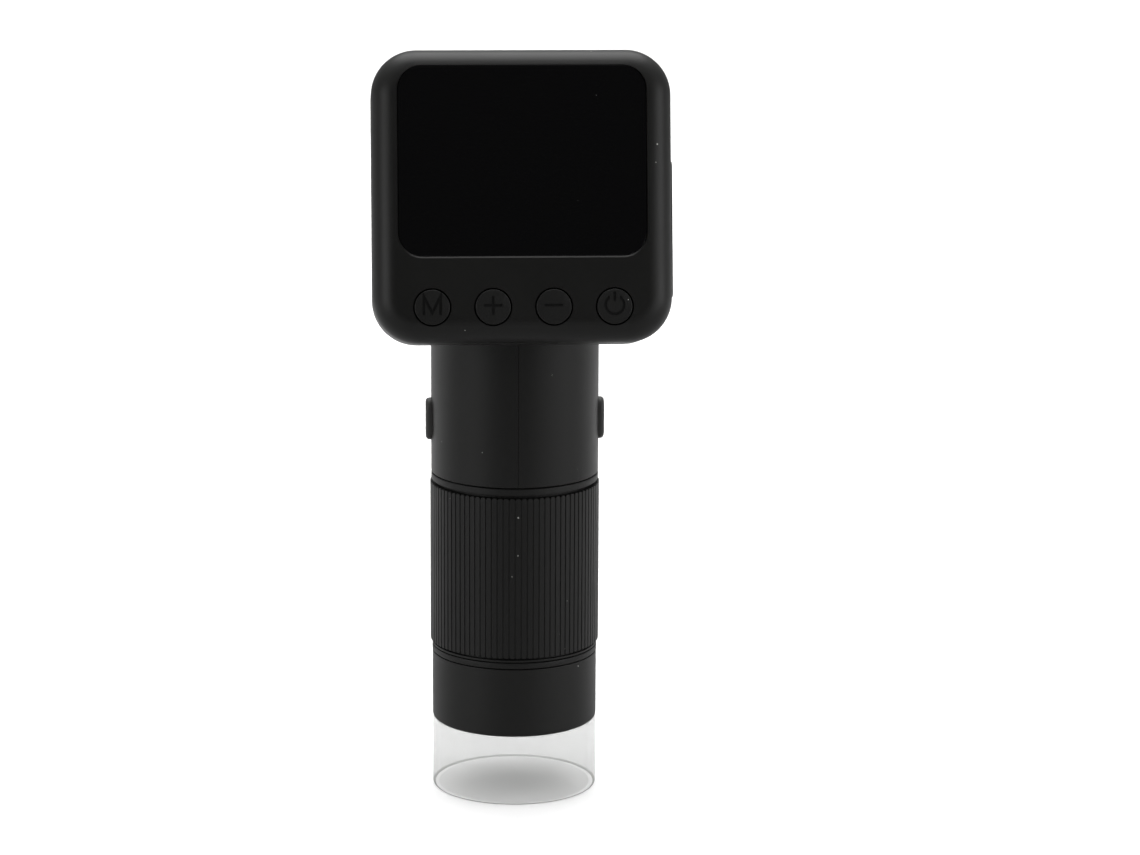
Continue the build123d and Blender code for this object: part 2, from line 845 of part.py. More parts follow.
# Right half: its bosses are counterbored for the screws' heads
with BuildPart() as upper_barrel_right:
    add(barrel_tube.part)
    split(bisect_by=Plane.YZ.offset(barrel_seam / 2), keep=Keep.TOP)
    for height in barrel_screw_heights:
        add(barrel_boss(1, height))
    with BuildSketch(Plane.YZ):
        with Locations(*barrel_screw_spots):
            Circle(barrel_screw_r + screw_gap)
    extrude(amount=barrel_r, mode=Mode.SUBTRACT)
    with BuildSketch(Plane.YZ.offset(barrel_screw_seat)):
        with Locations(*barrel_screw_spots):
            Circle(barrel_screw_head_r + screw_gap)
    extrude(amount=barrel_r, mode=Mode.SUBTRACT)
upper_barrel_right.part.label = "upper_barrel_right"

with BuildPart() as barrel_screws:
    for height in barrel_screw_heights:
        seat = Plane(
            origin=(barrel_screw_seat, barrel_screw_y, height), x_dir=(0, 1, 0), z_dir=(1, 0, 0)
        )
        add(screw(
            seat, barrel_screw_head_r, barrel_screw_head, barrel_screw_r, barrel_screw_length
        ))
barrel_screws.part.label = "barrel_screws"

# Side keys
with BuildPart() as left_key:
    add(side_key(-1))
left_key.part.label = "left_key"

with BuildPart() as right_key:
    add(side_key(1))
right_key.part.label = "right_key"

# Boards and switches behind the side keys; the boards stand on the cradle's floor
side_board_low = foot_top + cradle_floor
with BuildPart() as side_boards:
    for side in (-1, 1):
        with BuildSketch(Plane.YZ.offset(side * side_switch_x)):
            with Locations((0, side_board_low + side_board_length / 2)):
                Rectangle(side_board_width, side_board_length)
        extrude(amount=-side * side_board_thickness)
side_boards.part.label = "side_boards"

with BuildPart() as side_switches:
    for side in (-1, 1):
        add(switch(key_plane(side, side_switch_x)))
side_switches.part.label = "side_switches"

# Battery cell, and the cradle that centres it in the barrel
with BuildPart() as battery_cell:
    add(ring(battery_r, 0, battery_bottom, battery_top))
    fillet(battery_cell.edges().filter_by(GeomType.CIRCLE), battery_edge)
    add(ring(battery_stud_r, 0, battery_top, battery_top + battery_stud))
battery_cell.part.label = "battery_cell"

with BuildPart() as battery_cradle:
    add(ring(barrel_bore_r - seat_gap, 0, foot_top, battery_bottom))
    add(ring(cradle_r, cradle_bore_r, battery_bottom, cradle_top))
    with BuildSketch(Plane.XY.offset(foot_top)):
        with Locations((0, cable_bend / 2 - cable_drop_y - cable_notch / 2)):
            Rectangle(cable_width + loose_gap, cable_notch)
    extrude(amount=cradle_floor, mode=Mode.SUBTRACT)
    with BuildSketch(Plane.XY.offset(fin_bottom)):
        with PolarLocations((cradle_bore_r + barrel_bore_r) / 2, 4, start_angle=45):
            Rectangle(barrel_bore_r - cradle_bore_r - slip_gap, cradle_fin)
    extrude(amount=cradle_fin_length)
battery_cradle.part.label = "battery_cradle"

# ================================================================ sensor

with BuildPart() as sensor_board:
    add(ring(sensor_board_r, 0, flange_top, sensor_board_top))
    with BuildSketch(Plane.XY.offset(flange_top)):
        with PolarLocations(sensor_screw_ring_r, 2):
            Circle(sensor_screw_r + screw_gap)
    extrude(amount=sensor_board_height, mode=Mode.SUBTRACT)
sensor_board.part.label = "sensor_board"

with BuildPart() as image_sensor:
    with BuildSketch(Plane.XY.offset(flange_top)):
        Rectangle(sensor_size, sensor_size)
    extrude(amount=-sensor_height)
    chamfer(image_sensor.faces().sort_by(Axis.Z)[0].edges(), sensor_edge)
image_sensor.part.label = "image_sensor"

with BuildPart() as sensor_screws:
    for side in (-1, 1):
        seat = Plane.XY.offset(sensor_board_top).shift_origin(
            Vector(side * sensor_screw_ring_r, 0, sensor_board_top)
        )
        add(screw(
            seat,
            sensor_screw_head_r,
            sensor_screw_head,
            sensor_screw_r,
            sensor_board_height + sleeve_flange_height - seat_gap,
        ))
sensor_screws.part.label = "sensor_screws"

# ================================================================ head shells

# The head's outer form, and the space inside it
with BuildPart() as head_form:
    add(head_block(head_width, head_height, head_corner_r, 0, head_thickness))
    fillet(head_form.faces().sort_by(face_axis)[-1].edges(), front_edge)
    fillet(head_form.faces().sort_by(face_axis)[0].edges(), back_edge)

with BuildPart() as head_space:
    add(head_block(
        cavity_width, cavity_height, cavity_corner_r, face_wall, head_thickness - head_wall
    ))
    fillet(head_space.faces().sort_by(face_axis)[-1].edges(), front_edge - face_wall)
    fillet(head_space.faces().sort_by(face_axis)[0].edges(), back_edge - head_wall)

# The part of that space that is above the barrel's end
with BuildPart() as upper_space:
    add(head_space.part)
    split(bisect_by=Plane.XY.offset(ledge_top), keep=Keep.TOP)

# The opening in both shells for the port panel
with BuildPart() as port_opening:
    with BuildSketch(side_plane.offset(-head_wall - cut_spare)):
        with Locations(panel_spot):
            RectangleRounded(
                port_panel_length + 2 * seat_gap,
                port_panel_width + 2 * seat_gap,
                port_panel_corner + seat_gap,
            )
    extrude(amount=head_wall + 2 * cut_spare)

# Screw bosses of the front shell, trimmed to the head's outer form
front_seam = front_depth - head_seam / 2
with BuildPart() as front_bosses:
    add(head_rods(head_boss_r, face_wall / 2, front_seam))
    add(head_form.part, mode=Mode.INTERSECT)

# Front shell: face, window seat, button holes and screw bosses
with BuildPart() as head_front_shell:
    add(head_form.part)
    add(head_space.part, mode=Mode.SUBTRACT)
    split(bisect_by=behind(front_seam), keep=Keep.TOP)
    add(front_bosses.part)
    screw_end = screw_seat_depth - head_screw_length - screw_end_gap
    add(head_rods(head_screw_r + screw_gap, screw_end, front_depth), mode=Mode.SUBTRACT)
    add(
        head_block(
            window_width, window_height, window_corner_r, -cut_spare, ledge_depth, window_up
        ),
        mode=Mode.SUBTRACT,
    )
    add(screen_opening(0, face_wall + cut_spare), mode=Mode.SUBTRACT)
    with BuildSketch(face_plane):
        with Locations(*button_spots):
            Circle(button_r + button_gap)
    extrude(amount=-face_wall - cut_spare, mode=Mode.SUBTRACT)
    with BuildSketch(behind(face_wall)):
        with Locations(*button_spots):
            Circle(button_r + button_flange + button_gap)
    extrude(amount=-button_flange_thickness - button_travel - 2 * press_gap, mode=Mode.SUBTRACT)
    add(port_opening.part, mode=Mode.SUBTRACT)
head_front_shell.part.label = "head_front_shell"

# Screw posts of the rear shell, trimmed to the head's outer form
rear_seam = front_depth + head_seam / 2
with BuildPart() as rear_posts:
    add(head_rods(head_post_r, rear_seam, head_thickness))
    add(head_form.part, mode=Mode.INTERSECT)

# Collar about the barrel's top end, and the spaces inside it
with BuildPart() as collar:
    add(ring(collar_r, 0, collar_bottom, collar_top))
    fillet(collar.edges().group_by(Axis.Z)[-1], collar_roof_round)
    fillet(collar.edges().group_by(Axis.Z)[0], collar_foot_round)

with BuildPart() as collar_space:
    add(ring(collar_hollow_r, 0, ledge_top, collar_top - head_wall))
    fillet(collar_space.edges().group_by(Axis.Z)[-1], collar_roof_round - head_wall)
    add(ring(socket_r, 0, collar_bottom - cut_spare, barrel_top + seat_gap))
    add(ring(barrel_bore_r, 0, barrel_top, ledge_top))

# Rear shell
with BuildPart() as head_rear_shell:
    add(head_form.part)
    add(head_space.part, mode=Mode.SUBTRACT)
    split(bisect_by=behind(rear_seam), keep=Keep.BOTTOM)
    add(collar.part)
    add(collar_space.part, mode=Mode.SUBTRACT)
    add(upper_space.part, mode=Mode.SUBTRACT)
    add(rear_posts.part)
    add(
        head_rods(head_screw_r + screw_hole_gap, front_depth, head_thickness),
        mode=Mode.SUBTRACT,
    )
    add(
        head_rods(head_screw_head_r + screw_hole_gap, screw_seat_depth, head_thickness),
        mode=Mode.SUBTRACT,
    )
    with BuildSketch(Plane.YZ):
        with Locations((0, collar_bottom + neck_screw_rise)):
            Circle(neck_screw_r + screw_hole_gap)
    extrude(amount=collar_r, both=True, mode=Mode.SUBTRACT)
    for side in (-1, 1):
        with BuildSketch(neck_plane(side)):
            Circle(neck_screw_head_r + screw_hole_gap)
        extrude(amount=collar_r, mode=Mode.SUBTRACT)
    add(port_opening.part, mode=Mode.SUBTRACT)
head_rear_shell.part.label = "head_rear_shell"

# ================================================================ screen

window_sides = window_width - 2 * seat_gap
window_ends = window_height - 2 * seat_gap
with BuildPart() as screen_window:
    add(head_block(
        window_sides,
        window_ends,
        window_corner_r - seat_gap,
        window_sunk,
        window_sunk + window_thickness,
        window_up,
    ))
    fillet(screen_window.faces().sort_by(face_axis)[-1].edges(), window_edge)
screen_window.part.label = "screen_window"

# Foam gasket between the front shell and the display
with BuildPart() as screen_gasket:
    add(head_block(lcd_width, lcd_height, lcd_corner_r, face_wall, gasket_back, window_up))
    add(screen_opening(face_wall, gasket_back), mode=Mode.SUBTRACT)
screen_gasket.part.label = "screen_gasket"

with BuildPart() as lcd_panel:
    add(head_block(lcd_width, lcd_height, lcd_corner_r, gasket_back, lcd_back, window_up))
lcd_panel.part.label = "lcd_panel"

# Tray that carries the display, on four legs on the main board
leg_spacing_x = lcd_width - 2 * tray_leg_inset
leg_spacing_y = lcd_height - 2 * tray_leg_inset
with BuildPart() as lcd_tray:
    add(head_block(tray_width, tray_height, tray_corner_r, gasket_back, tray_back, window_up))
    add(
        head_block(
            lcd_width + 2 * seat_gap,
            lcd_height + 2 * seat_gap,
            lcd_corner_r,
            gasket_back,
            lcd_back,
            window_up,
        ),
        mode=Mode.SUBTRACT,
    )
    add(
        head_block(
            lcd_width - 2 * tray_lip,
            lcd_height - 2 * tray_lip,
            tray_corner_r,
            lcd_back,
            tray_back,
            window_up,
        ),
        mode=Mode.SUBTRACT,
    )
    with BuildSketch(behind(tray_back)):
        with Locations((0, window_up)):
            with GridLocations(leg_spacing_x, leg_spacing_y, 2, 2):
                Circle(tray_leg_r)
    extrude(amount=-tray_leg)
lcd_tray.part.label = "lcd_tray"

# ================================================================ main board and its parts

with BuildPart() as main_board:
    add(head_block(
        cavity_width - 2 * board_clearance,
        cavity_height - 2 * board_clearance,
        cavity_corner_r - board_clearance,
        board_front,
        board_back,
    ))
    add(
        head_rods(head_post_r + loose_gap, board_front, board_back),
        mode=Mode.SUBTRACT,
    )
main_board.part.label = "main_board"

# Chips on the board's back: processor, memory, charger and its coil
with BuildPart() as board_chips:
    for across, up, width, height, thickness in chip_places:
        with BuildSketch(behind(board_back)):
            with Locations((across, up)):
                Rectangle(width, height)
        extrude(amount=-thickness)
board_chips.part.label = "board_chips"

with BuildPart() as face_switches:
    for spot in button_spots:
        add(switch(facing(board_front, spot)))
face_switches.part.label = "face_switches"

# ================================================================ face buttons

half_mark = mark_size / 2
half_mode = mode_mark_width / 2
with BuildSketch() as mode_mark:
    with BuildLine():
        Polyline(
            (-half_mode, -half_mark),
            (-half_mode, half_mark),
            (0, half_mark - mode_mark_dip),
            (half_mode, half_mark),
            (half_mode, -half_mark),
        )
    trace(line_width=mark_stroke)

with BuildSketch() as plus_mark:
    Rectangle(mark_size, mark_stroke)
    Rectangle(mark_stroke, mark_size)

with BuildSketch() as minus_mark:
    Rectangle(mark_size, mark_stroke)

with BuildSketch() as power_mark:
    Circle(half_mark + mark_stroke / 2)
    Circle(half_mark - mark_stroke / 2, mode=Mode.SUBTRACT)
    with Locations((0, half_mark)):
        Rectangle(power_mark_gap, mark_size / 2, mode=Mode.SUBTRACT)
    with Locations((0, power_bar_up)):
        Rectangle(mark_stroke, power_bar_length)

with BuildPart() as button_mode:
    add(face_button(button_spots[0], mode_mark.sketch))
button_mode.part.label = "button_mode"

with BuildPart() as button_plus:
    add(face_button(button_spots[1], plus_mark.sketch))
button_plus.part.label = "button_plus"

with BuildPart() as button_minus:
    add(face_button(button_spots[2], minus_mark.sketch))
button_minus.part.label = "button_minus"

with BuildPart() as button_power:
    add(face_button(button_spots[3], power_mark.sketch))
button_power.part.label = "button_power"

# ================================================================ ports

with BuildPart() as port_panel:
    with BuildSketch(side_plane.offset(-head_wall)):
        with Locations(panel_spot):
            RectangleRounded(port_panel_length, port_panel_width, port_panel_corner)
    extrude(amount=head_wall + port_panel_proud)
    fillet(port_panel.faces().sort_by(Axis.X)[-1].edges(), port_panel_edge)
    with BuildSketch(side_plane.offset(-head_wall)):
        with Locations(usb_spot):
            SlotOverall(usb_length + slip_gap, usb_height + slip_gap)
        with Locations(card_spot):
            Rectangle(card_width, card_slot_height)
    extrude(amount=head_wall + port_panel_proud, mode=Mode.SUBTRACT)
port_panel.part.label = "port_panel"

# Charging and data socket: a steel shell with a tongue in it
usb_mouth = side_plane.offset(port_panel_proud - usb_setback)
usb_hollow = usb_depth - usb_shell
with BuildPart() as usb_c_socket:
    with BuildSketch(usb_mouth):
        with Locations(usb_spot):
            SlotOverall(usb_length, usb_height)
    extrude(amount=-usb_depth)
    with BuildSketch(usb_mouth):
        with Locations(usb_spot):
            SlotOverall(usb_length - 2 * usb_shell, usb_height - 2 * usb_shell)
    extrude(amount=-usb_hollow, mode=Mode.SUBTRACT)
    with BuildSketch(usb_mouth.offset(-usb_tongue_setback)):
        with Locations(usb_spot):
            Rectangle(usb_tongue_width, usb_tongue_thickness)
    extrude(amount=usb_tongue_setback - usb_hollow - usb_shell / 2)
usb_c_socket.part.label = "usb_c_socket"

with BuildPart() as card_socket:
    with BuildSketch(side_plane.offset(-head_wall - seat_gap)):
        with Locations(card_spot):
            Rectangle(card_socket_width, card_socket_height)
    extrude(amount=-card_socket_depth)
    with BuildSketch(side_plane.offset(-head_wall - seat_gap)):
        with Locations(card_spot):
            Rectangle(card_width, card_slot_height)
    extrude(amount=card_socket_back - card_socket_depth, mode=Mode.SUBTRACT)
card_socket.part.label = "card_socket"

# ================================================================ fasteners of the head

with BuildPart() as head_screws:
    for spot in screw_spots:
        add(screw(
            from_back(screw_seat_depth, spot),
            head_screw_head_r,
            head_screw_head,
            head_screw_r,
            head_screw_length,
        ))
head_screws.part.label = "head_screws"

with BuildPart() as neck_screws:
    for side in (-1, 1):
        add(screw(
            neck_plane(side), neck_screw_head_r, neck_screw_head, neck_screw_r, neck_screw_length
        ))
neck_screws.part.label = "neck_screws"

# ================================================================ cables inside

# Flat cable from the sensor board, up past the battery and over to the main board
cable_low = sensor_board_top + cable_thickness / 2
cable_high = barrel_top + cable_rise
with BuildPart() as sensor_cable:
    add(flat_cable(
        [
            (-cable_drop_y + cable_foot, cable_low),
            (-cable_drop_y, cable_low),
            (-cable_drop_y, cable_high),
            (board_y(cable_high) + seat_gap, cable_high),
        ],
        cable_bend,
        cable_width,
    ))
sensor_cable.part.label = "sensor_cable"

# Straight flat cable between the lamp board and the sensor board, in the sleeve's flat
lamp_cable_y = sleeve_outer_r - sleeve_flat_depth + seat_gap + cable_thickness / 2
with BuildPart() as lamp_cable:
    with BuildSketch(Plane.XY.offset(lamp_board_top)):
        with Locations((0, lamp_cable_y)):
            Rectangle(lamp_cable_width, cable_thickness)
    extrude(amount=flange_top - lamp_board_top)
lamp_cable.part.label = "lamp_cable"

# Two leads from the battery to the main board
lead_high = barrel_top + lead_rise
with BuildPart() as battery_leads:
    for side in (-1, 1):
        with BuildLine(Plane.YZ.offset(side * lead_spread)):
            FilletPolyline(
                (lead_y, battery_top),
                (lead_y, lead_high),
                (board_y(lead_high) + slip_gap, lead_high),
                radius=lead_bend,
            )
        with BuildSketch(Plane.XY.offset(battery_top)):
            with Locations((side * lead_spread, lead_y)):
                Circle(lead_r)
        sweep()
battery_leads.part.label = "battery_leads"

# ================================================================ writing

os.makedirs("parts", exist_ok=True)
for piece in (
    hood,
    lower_barrel,
    window_disc,
    lamp_reflector,
    lamp_board,
    lamps,
    light_shield,
    inner_sleeve,
    ring_core,
    focus_grip,
    trim_ring,
    ring_washers,
    lens_carriage,
    front_lens,
    rear_lens,
    lens_rings,
    guide_pins,
    upper_barrel_left,
    upper_barrel_right,
    barrel_screws,
    left_key,
    right_key,
    side_boards,
    side_switches,
    battery_cell,
    battery_cradle,
    sensor_board,
    image_sensor,
    sensor_screws,
    head_front_shell,
    head_rear_shell,
    screen_window,
    screen_gasket,
    lcd_panel,
    lcd_tray,
    main_board,
    board_chips,
    face_switches,
    button_mode,
    button_plus,
    button_minus,
    button_power,
    port_panel,
    usb_c_socket,
    card_socket,
    head_screws,
    neck_screws,
    sensor_cable,
    lamp_cable,
    battery_leads,
):
    export_step(piece.part, f"parts/{piece.part.label}.step")
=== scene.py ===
"""Looks of a handheld digital microscope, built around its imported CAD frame.

Metres, +Z up the tube's axis, the screen faces -Y. The frame's solids say where everything is;
the classes below shape the visible skins on it, one class for each sub-assembly.
"""

import json
import logging
import math
from collections.abc import Callable, Iterable, Sequence
from dataclasses import dataclass, field, replace
from enum import Enum

import bmesh
import bpy
from bmesh.types import BMEdge, BMesh
from mathutils import Matrix, Vector


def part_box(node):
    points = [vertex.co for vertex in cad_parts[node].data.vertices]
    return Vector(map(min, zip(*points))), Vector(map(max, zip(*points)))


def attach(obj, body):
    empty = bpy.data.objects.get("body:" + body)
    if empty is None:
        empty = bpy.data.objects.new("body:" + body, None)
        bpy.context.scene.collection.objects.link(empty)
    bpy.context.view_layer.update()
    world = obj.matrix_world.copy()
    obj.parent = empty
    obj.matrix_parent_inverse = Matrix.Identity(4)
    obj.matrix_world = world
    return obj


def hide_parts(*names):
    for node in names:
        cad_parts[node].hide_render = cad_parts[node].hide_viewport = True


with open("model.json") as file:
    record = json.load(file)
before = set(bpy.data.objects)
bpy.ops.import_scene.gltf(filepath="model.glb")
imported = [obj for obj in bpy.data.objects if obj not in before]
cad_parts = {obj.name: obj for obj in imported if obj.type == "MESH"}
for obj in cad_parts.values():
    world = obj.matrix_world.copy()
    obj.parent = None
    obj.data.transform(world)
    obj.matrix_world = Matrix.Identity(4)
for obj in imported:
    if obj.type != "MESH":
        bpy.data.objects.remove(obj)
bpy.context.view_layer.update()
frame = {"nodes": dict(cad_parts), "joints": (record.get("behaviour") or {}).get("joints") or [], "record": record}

LOG = logging.getLogger("microscope")

MM = 0.001
FULL_TURN = 2 * math.pi
TURN_STEPS = 180
ROUND_STEPS = 6
SHARP_ANGLE = math.radians(32)
NEAR = 0.02 * MM
SPARE = 2 * MM
COARSE_SHARE = 0.38
HAZE_PER_METRE = 110.0
BARE_SHARE = 0.5

Colour = tuple[float, float, float]
Point2 = tuple[float, float]
Socket = bpy.types.NodeSocket
Tree = bpy.types.ShaderNodeTree


class Join(Enum):
    """How a second solid changes the first."""

    CUT = "DIFFERENCE"
    FUSE = "UNION"
    COMMON = "INTERSECT"


class Side(Enum):
    """Which side of the tube a piece is on, as the sign of its X."""

    LEFT = -1
    RIGHT = 1


# ---------------------------------------------------------------- reading the frame


def joint_axis(name: str) -> Vector:
    """Find the direction in which a joint moves its body.

    Args:
        name: The joint's name in the record.

    Returns:
        The joint's axis, of length one.
    """
    axes = {joint["name"]: joint["axis"] for joint in frame["joints"]}
    return Vector(axes[name]).normalized()


def reach(node: str, direction: Vector) -> tuple[float, float]:
    """Measure how far a CAD node reaches along a direction.

    Args:
        node: The node's name.
        direction: The direction, of length one.

    Returns:
        The lowest and the highest reach, in metres from the origin.
    """
    spans = [vertex.co.dot(direction) for vertex in frame["nodes"][node].data.vertices]
    return min(spans), max(spans)


def levels(node: str) -> tuple[float, float]:
    """Return a node's lowest and highest Z."""
    low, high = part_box(node)
    return low.z, high.z


def radius_of(node: str) -> float:
    """Return the outer radius of a round node about the tube's axis."""
    low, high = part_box(node)
    return (high.y - low.y) / 2


def bore_of(node: str) -> float:
    """Return the inner radius of a round node about the tube's axis."""
    return min(vertex.co.to_2d().length for vertex in frame["nodes"][node].data.vertices)


# ---------------------------------------------------------------- shaping


@dataclass(frozen=True)
class Corner:
    """One corner of a turned outline: radius from the axis, height and rounding."""

    r: float
    z: float
    rounding: float = 0.0


def turned(corners: Sequence[Corner], steps: int = TURN_STEPS) -> BMesh:
    """Turn a closed outline about the Z axis into a ring.

    Args:
        corners: The outline's corners in order, none on the axis.
        steps: How many steps a full turn has.

    Returns:
        The closed ring.
    """
    bm = bmesh.new()
    vertices = [bm.verts.new((corner.r, 0, corner.z)) for corner in corners]
    bm.faces.new(vertices)
    for vertex, corner in zip(vertices, corners):
        if corner.rounding > 0:
            bmesh.ops.bevel(
                bm,
                geom=[vertex],
                offset=corner.rounding,
                offset_type="OFFSET",
                affect="VERTICES",
                segments=ROUND_STEPS,
                profile=0.5,
                material=-1,
            )
    bmesh.ops.delete(bm, geom=bm.faces[:], context="FACES_ONLY")
    bmesh.ops.spin(
        bm,
        geom=bm.verts[:] + bm.edges[:],
        cent=(0, 0, 0),
        axis=(0, 0, 1),
        dvec=(0, 0, 0),
        angle=FULL_TURN,
        steps=steps,
        use_merge=True,
        use_duplicate=False,
    )
    bmesh.ops.remove_doubles(bm, verts=bm.verts[:], dist=NEAR / 100)
    bmesh.ops.recalc_face_normals(bm, faces=bm.faces[:])
    return bm


def rounded(
    bm: BMesh, edges: Iterable[BMEdge], radius: float, steps: int, clamp: bool = True
) -> None:
    """Round some edges of a mesh in place.

    Args:
        bm: The mesh.
        edges: The edges to round.
        radius: The rounding's offset from each edge.
        steps: How many strips the rounding has.
        clamp: Whether the offset is held below the edges' lengths.
    """
    bmesh.ops.bevel(
        bm,
        geom=list(edges),
        offset=radius,
        offset_type="OFFSET",
        affect="EDGES",
        segments=steps,
        profile=0.5,
        material=-1,
        clamp_overlap=clamp,
    )


def edges_where(bm: BMesh, test: Callable[[Vector], bool]) -> list[BMEdge]:
    """Return the edges whose two ends both pass a test of their place."""
    return [edge for edge in bm.edges if all(test(vertex.co) for vertex in edge.verts)]


@dataclass(frozen=True)
class Slab:
    """A round-cornered block between two heights, with its middle on the Z axis."""

    width: float
    height: float
    corner: float
    low: float
    high: float
    low_round: float = 0.0
    high_round: float = 0.0
    corner_steps: int = 20
    edge_steps: int = 12
    middle: Point2 = (0.0, 0.0)

    def mesh(self) -> BMesh:
        """Build the block.

        Returns:
            The closed block.
        """
        bm = bmesh.new()
        place = Matrix.Translation((*self.middle, (self.low + self.high) / 2))
        size = Matrix.Diagonal((self.width, self.height, self.high - self.low, 1))
        bmesh.ops.create_cube(bm, size=1, matrix=place @ size)
        uprights = [
            edge
            for edge in bm.edges
            if abs(edge.verts[0].co.z - edge.verts[1].co.z) > (self.high - self.low) / 2
        ]
        rounded(bm, uprights, self.corner, self.corner_steps)
        for level, radius in ((self.low, self.low_round), (self.high, self.high_round)):
            if radius > 0:
                rim = edges_where(bm, lambda place, level=level: abs(place.z - level) < NEAR)
                rounded(bm, rim, radius, self.edge_steps, clamp=False)
        return bm


def rod(radius: float, low: float, high: float, middle: Point2, steps: int) -> BMesh:
    """Build a round rod along Z.

    Args:
        radius: The rod's radius.
        low: Its lower end.
        high: Its upper end.
        middle: Its axis, as X and Y.
        steps: How many sides it has.

    Returns:
        The closed rod.
    """
    bm = bmesh.new()
    bmesh.ops.create_cone(
        bm,
        cap_ends=True,
        segments=steps,
        radius1=radius,
        radius2=radius,
        depth=high - low,
        matrix=Matrix.Translation((*middle, (low + high) / 2)),
    )
    return bm


def gathered(meshes: Iterable[BMesh]) -> BMesh:
    """Put several meshes into one, and free them.

    Args:
        meshes: The meshes to gather.

    Returns:
        One mesh with all their faces.
    """
    whole = bmesh.new()
    for bm in meshes:
        carrier = bpy.data.meshes.new("carrier")
        bm.to_mesh(carrier)
        bm.free()
        whole.from_mesh(carrier)
        bpy.data.meshes.remove(carrier)
    return whole


def moved(bm: BMesh, matrix: Matrix) -> BMesh:
    """Move a mesh by a matrix, in place, and return it."""
    bmesh.ops.transform(bm, matrix=matrix, verts=bm.verts[:])
    return bm


def combined(base: BMesh, tool: BMesh, how: Join) -> BMesh:
    """Cut one closed solid by another, fuse them or keep what they share, and free both.

    Args:
        base: The solid to change.
        tool: The solid that changes it.
        how: Which of the three is done.

    Returns:
        The changed solid.
    """
    objects = []
    for bm in (base, tool):
        mesh = bpy.data.meshes.new("workpiece")
        bm.to_mesh(mesh)
        bm.free()
        made = bpy.data.objects.new("workpiece", mesh)
        bpy.context.scene.collection.objects.link(made)
        objects.append(made)
    modifier = objects[0].modifiers.new("combine", "BOOLEAN")
    modifier.operation = how.value
    modifier.solver = "EXACT"
    modifier.object = objects[1]
    graph = bpy.context.evaluated_depsgraph_get()
    result_mesh = bpy.data.meshes.new_from_object(objects[0].evaluated_get(graph))
    result = bmesh.new()
    result.from_mesh(result_mesh)
    bpy.data.meshes.remove(result_mesh)
    for made in objects:
        mesh = made.data
        bpy.data.objects.remove(made)
        bpy.data.meshes.remove(mesh)
    return result


@dataclass(frozen=True)
class Role:
    """What a piece is: its name, its body, its finish's slot and the nodes it stands for."""

    name: str
    body: str
    slot: str
    nodes: tuple[str, ...]


def finished(bm: BMesh, role: Role, wardrobe: "Wardrobe") -> bpy.types.Object:
    """Make a visible piece of a mesh, and dress it.

    Args:
        bm: The mesh, which is freed.
        role: What the piece is.
        wardrobe: Where its finish comes from.

    Returns:
        The piece, riding on its body.
    """
    mesh = bpy.data.meshes.new(role.name)
    bm.to_mesh(mesh)
    bm.free()
    mesh.materials.append(wardrobe[role.slot])
    if "custom_normal" in mesh.attributes:
        mesh.attributes.remove(mesh.attributes["custom_normal"])
    mesh.shade_smooth()
    mesh.set_sharp_from_angle(angle=SHARP_ANGLE)
    piece = bpy.data.objects.new(role.name, mesh)
    bpy.context.scene.collection.objects.link(piece)
    weights = piece.modifiers.new("even_normals", "WEIGHTED_NORMAL")
    weights.mode = "FACE_AREA"
    weights.weight = 100
    weights.keep_sharp = True
    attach(piece, role.body)
    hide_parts(*role.nodes)
    LOG.info("%s: %d faces, on %s", role.name, len(mesh.polygons), role.body)
    return piece


def merged_copy(node: str) -> BMesh:
    """Copy a CAD node's mesh and join its loose triangles.

    Args:
        node: The node's name.

    Returns:
        The closed copy.
    """
    bm = bmesh.new()
    bm.from_mesh(frame["nodes"][node].data)
    bmesh.ops.remove_doubles(bm, verts=bm.verts[:], dist=NEAR / 20)
    return bm


# ---------------------------------------------------------------- shader groups


def group_socket(
    group: Tree, name: str, kind: str, side: str, value: float | None = None
) -> None:
    """Add a named socket to a shader group.

    Args:
        group: The group.
        name: The socket's name.
        kind: Its socket type, without the NodeSocket prefix.
        side: INPUT or OUTPUT.
        value: Its default value, if it has one.
    """
    socket = group.interface.new_socket(name=name, in_out=side, socket_type=f"NodeSocket{kind}")
    if value is not None:
        socket.default_value = value


def noise(group: Tree, vector: Socket, scale: Socket | float, detail: float) -> Socket:
    """Add a noise texture.

    Args:
        group: The node tree it goes in.
        vector: The place that it reads.
        scale: Its grains per metre, as a socket or a number.
        detail: How many finer layers it has.

    Returns:
        The noise, which averages 0.5.
    """
    texture = group.nodes.new("ShaderNodeTexNoise")
    texture.inputs["Detail"].default_value = detail
    group.links.new(vector, texture.inputs["Vector"])
    feed(group, scale, texture.inputs["Scale"])
    return texture.outputs["Fac"]


def feed(tree: Tree, value: Socket | float, socket: Socket) -> None:
    """Give a socket its value.

    Args:
        tree: The node tree that both are in.
        value: Another socket to link, or a number.
        socket: The socket to feed.
    """
    if isinstance(value, Socket):
        tree.links.new(value, socket)
    else:
        socket.default_value = value


def separated(tree: Tree, vector: Socket) -> bpy.types.NodeOutputs:
    """Add a node that parts a vector.

    Args:
        tree: The node tree it goes in.
        vector: The vector to part.

    Returns:
        The node's outputs, which are X, Y and Z.
    """
    parts = tree.nodes.new("ShaderNodeSeparateXYZ")
    tree.links.new(vector, parts.inputs["Vector"])
    return parts.outputs


def maths(
    group: Tree, operation: str, first: Socket | float, second: Socket | float = 0.0
) -> Socket:
    """Add a maths node.

    Args:
        group: The node tree it goes in.
        operation: Its operation.
        first: Its first value, as a socket or a number.
        second: Its second value, as a socket or a number.

    Returns:
        The node's result.
    """
    node = group.nodes.new("ShaderNodeMath")
    node.operation = operation
    for place, value in enumerate((first, second)):
        feed(group, value, node.inputs[place])
    return node.outputs[0]


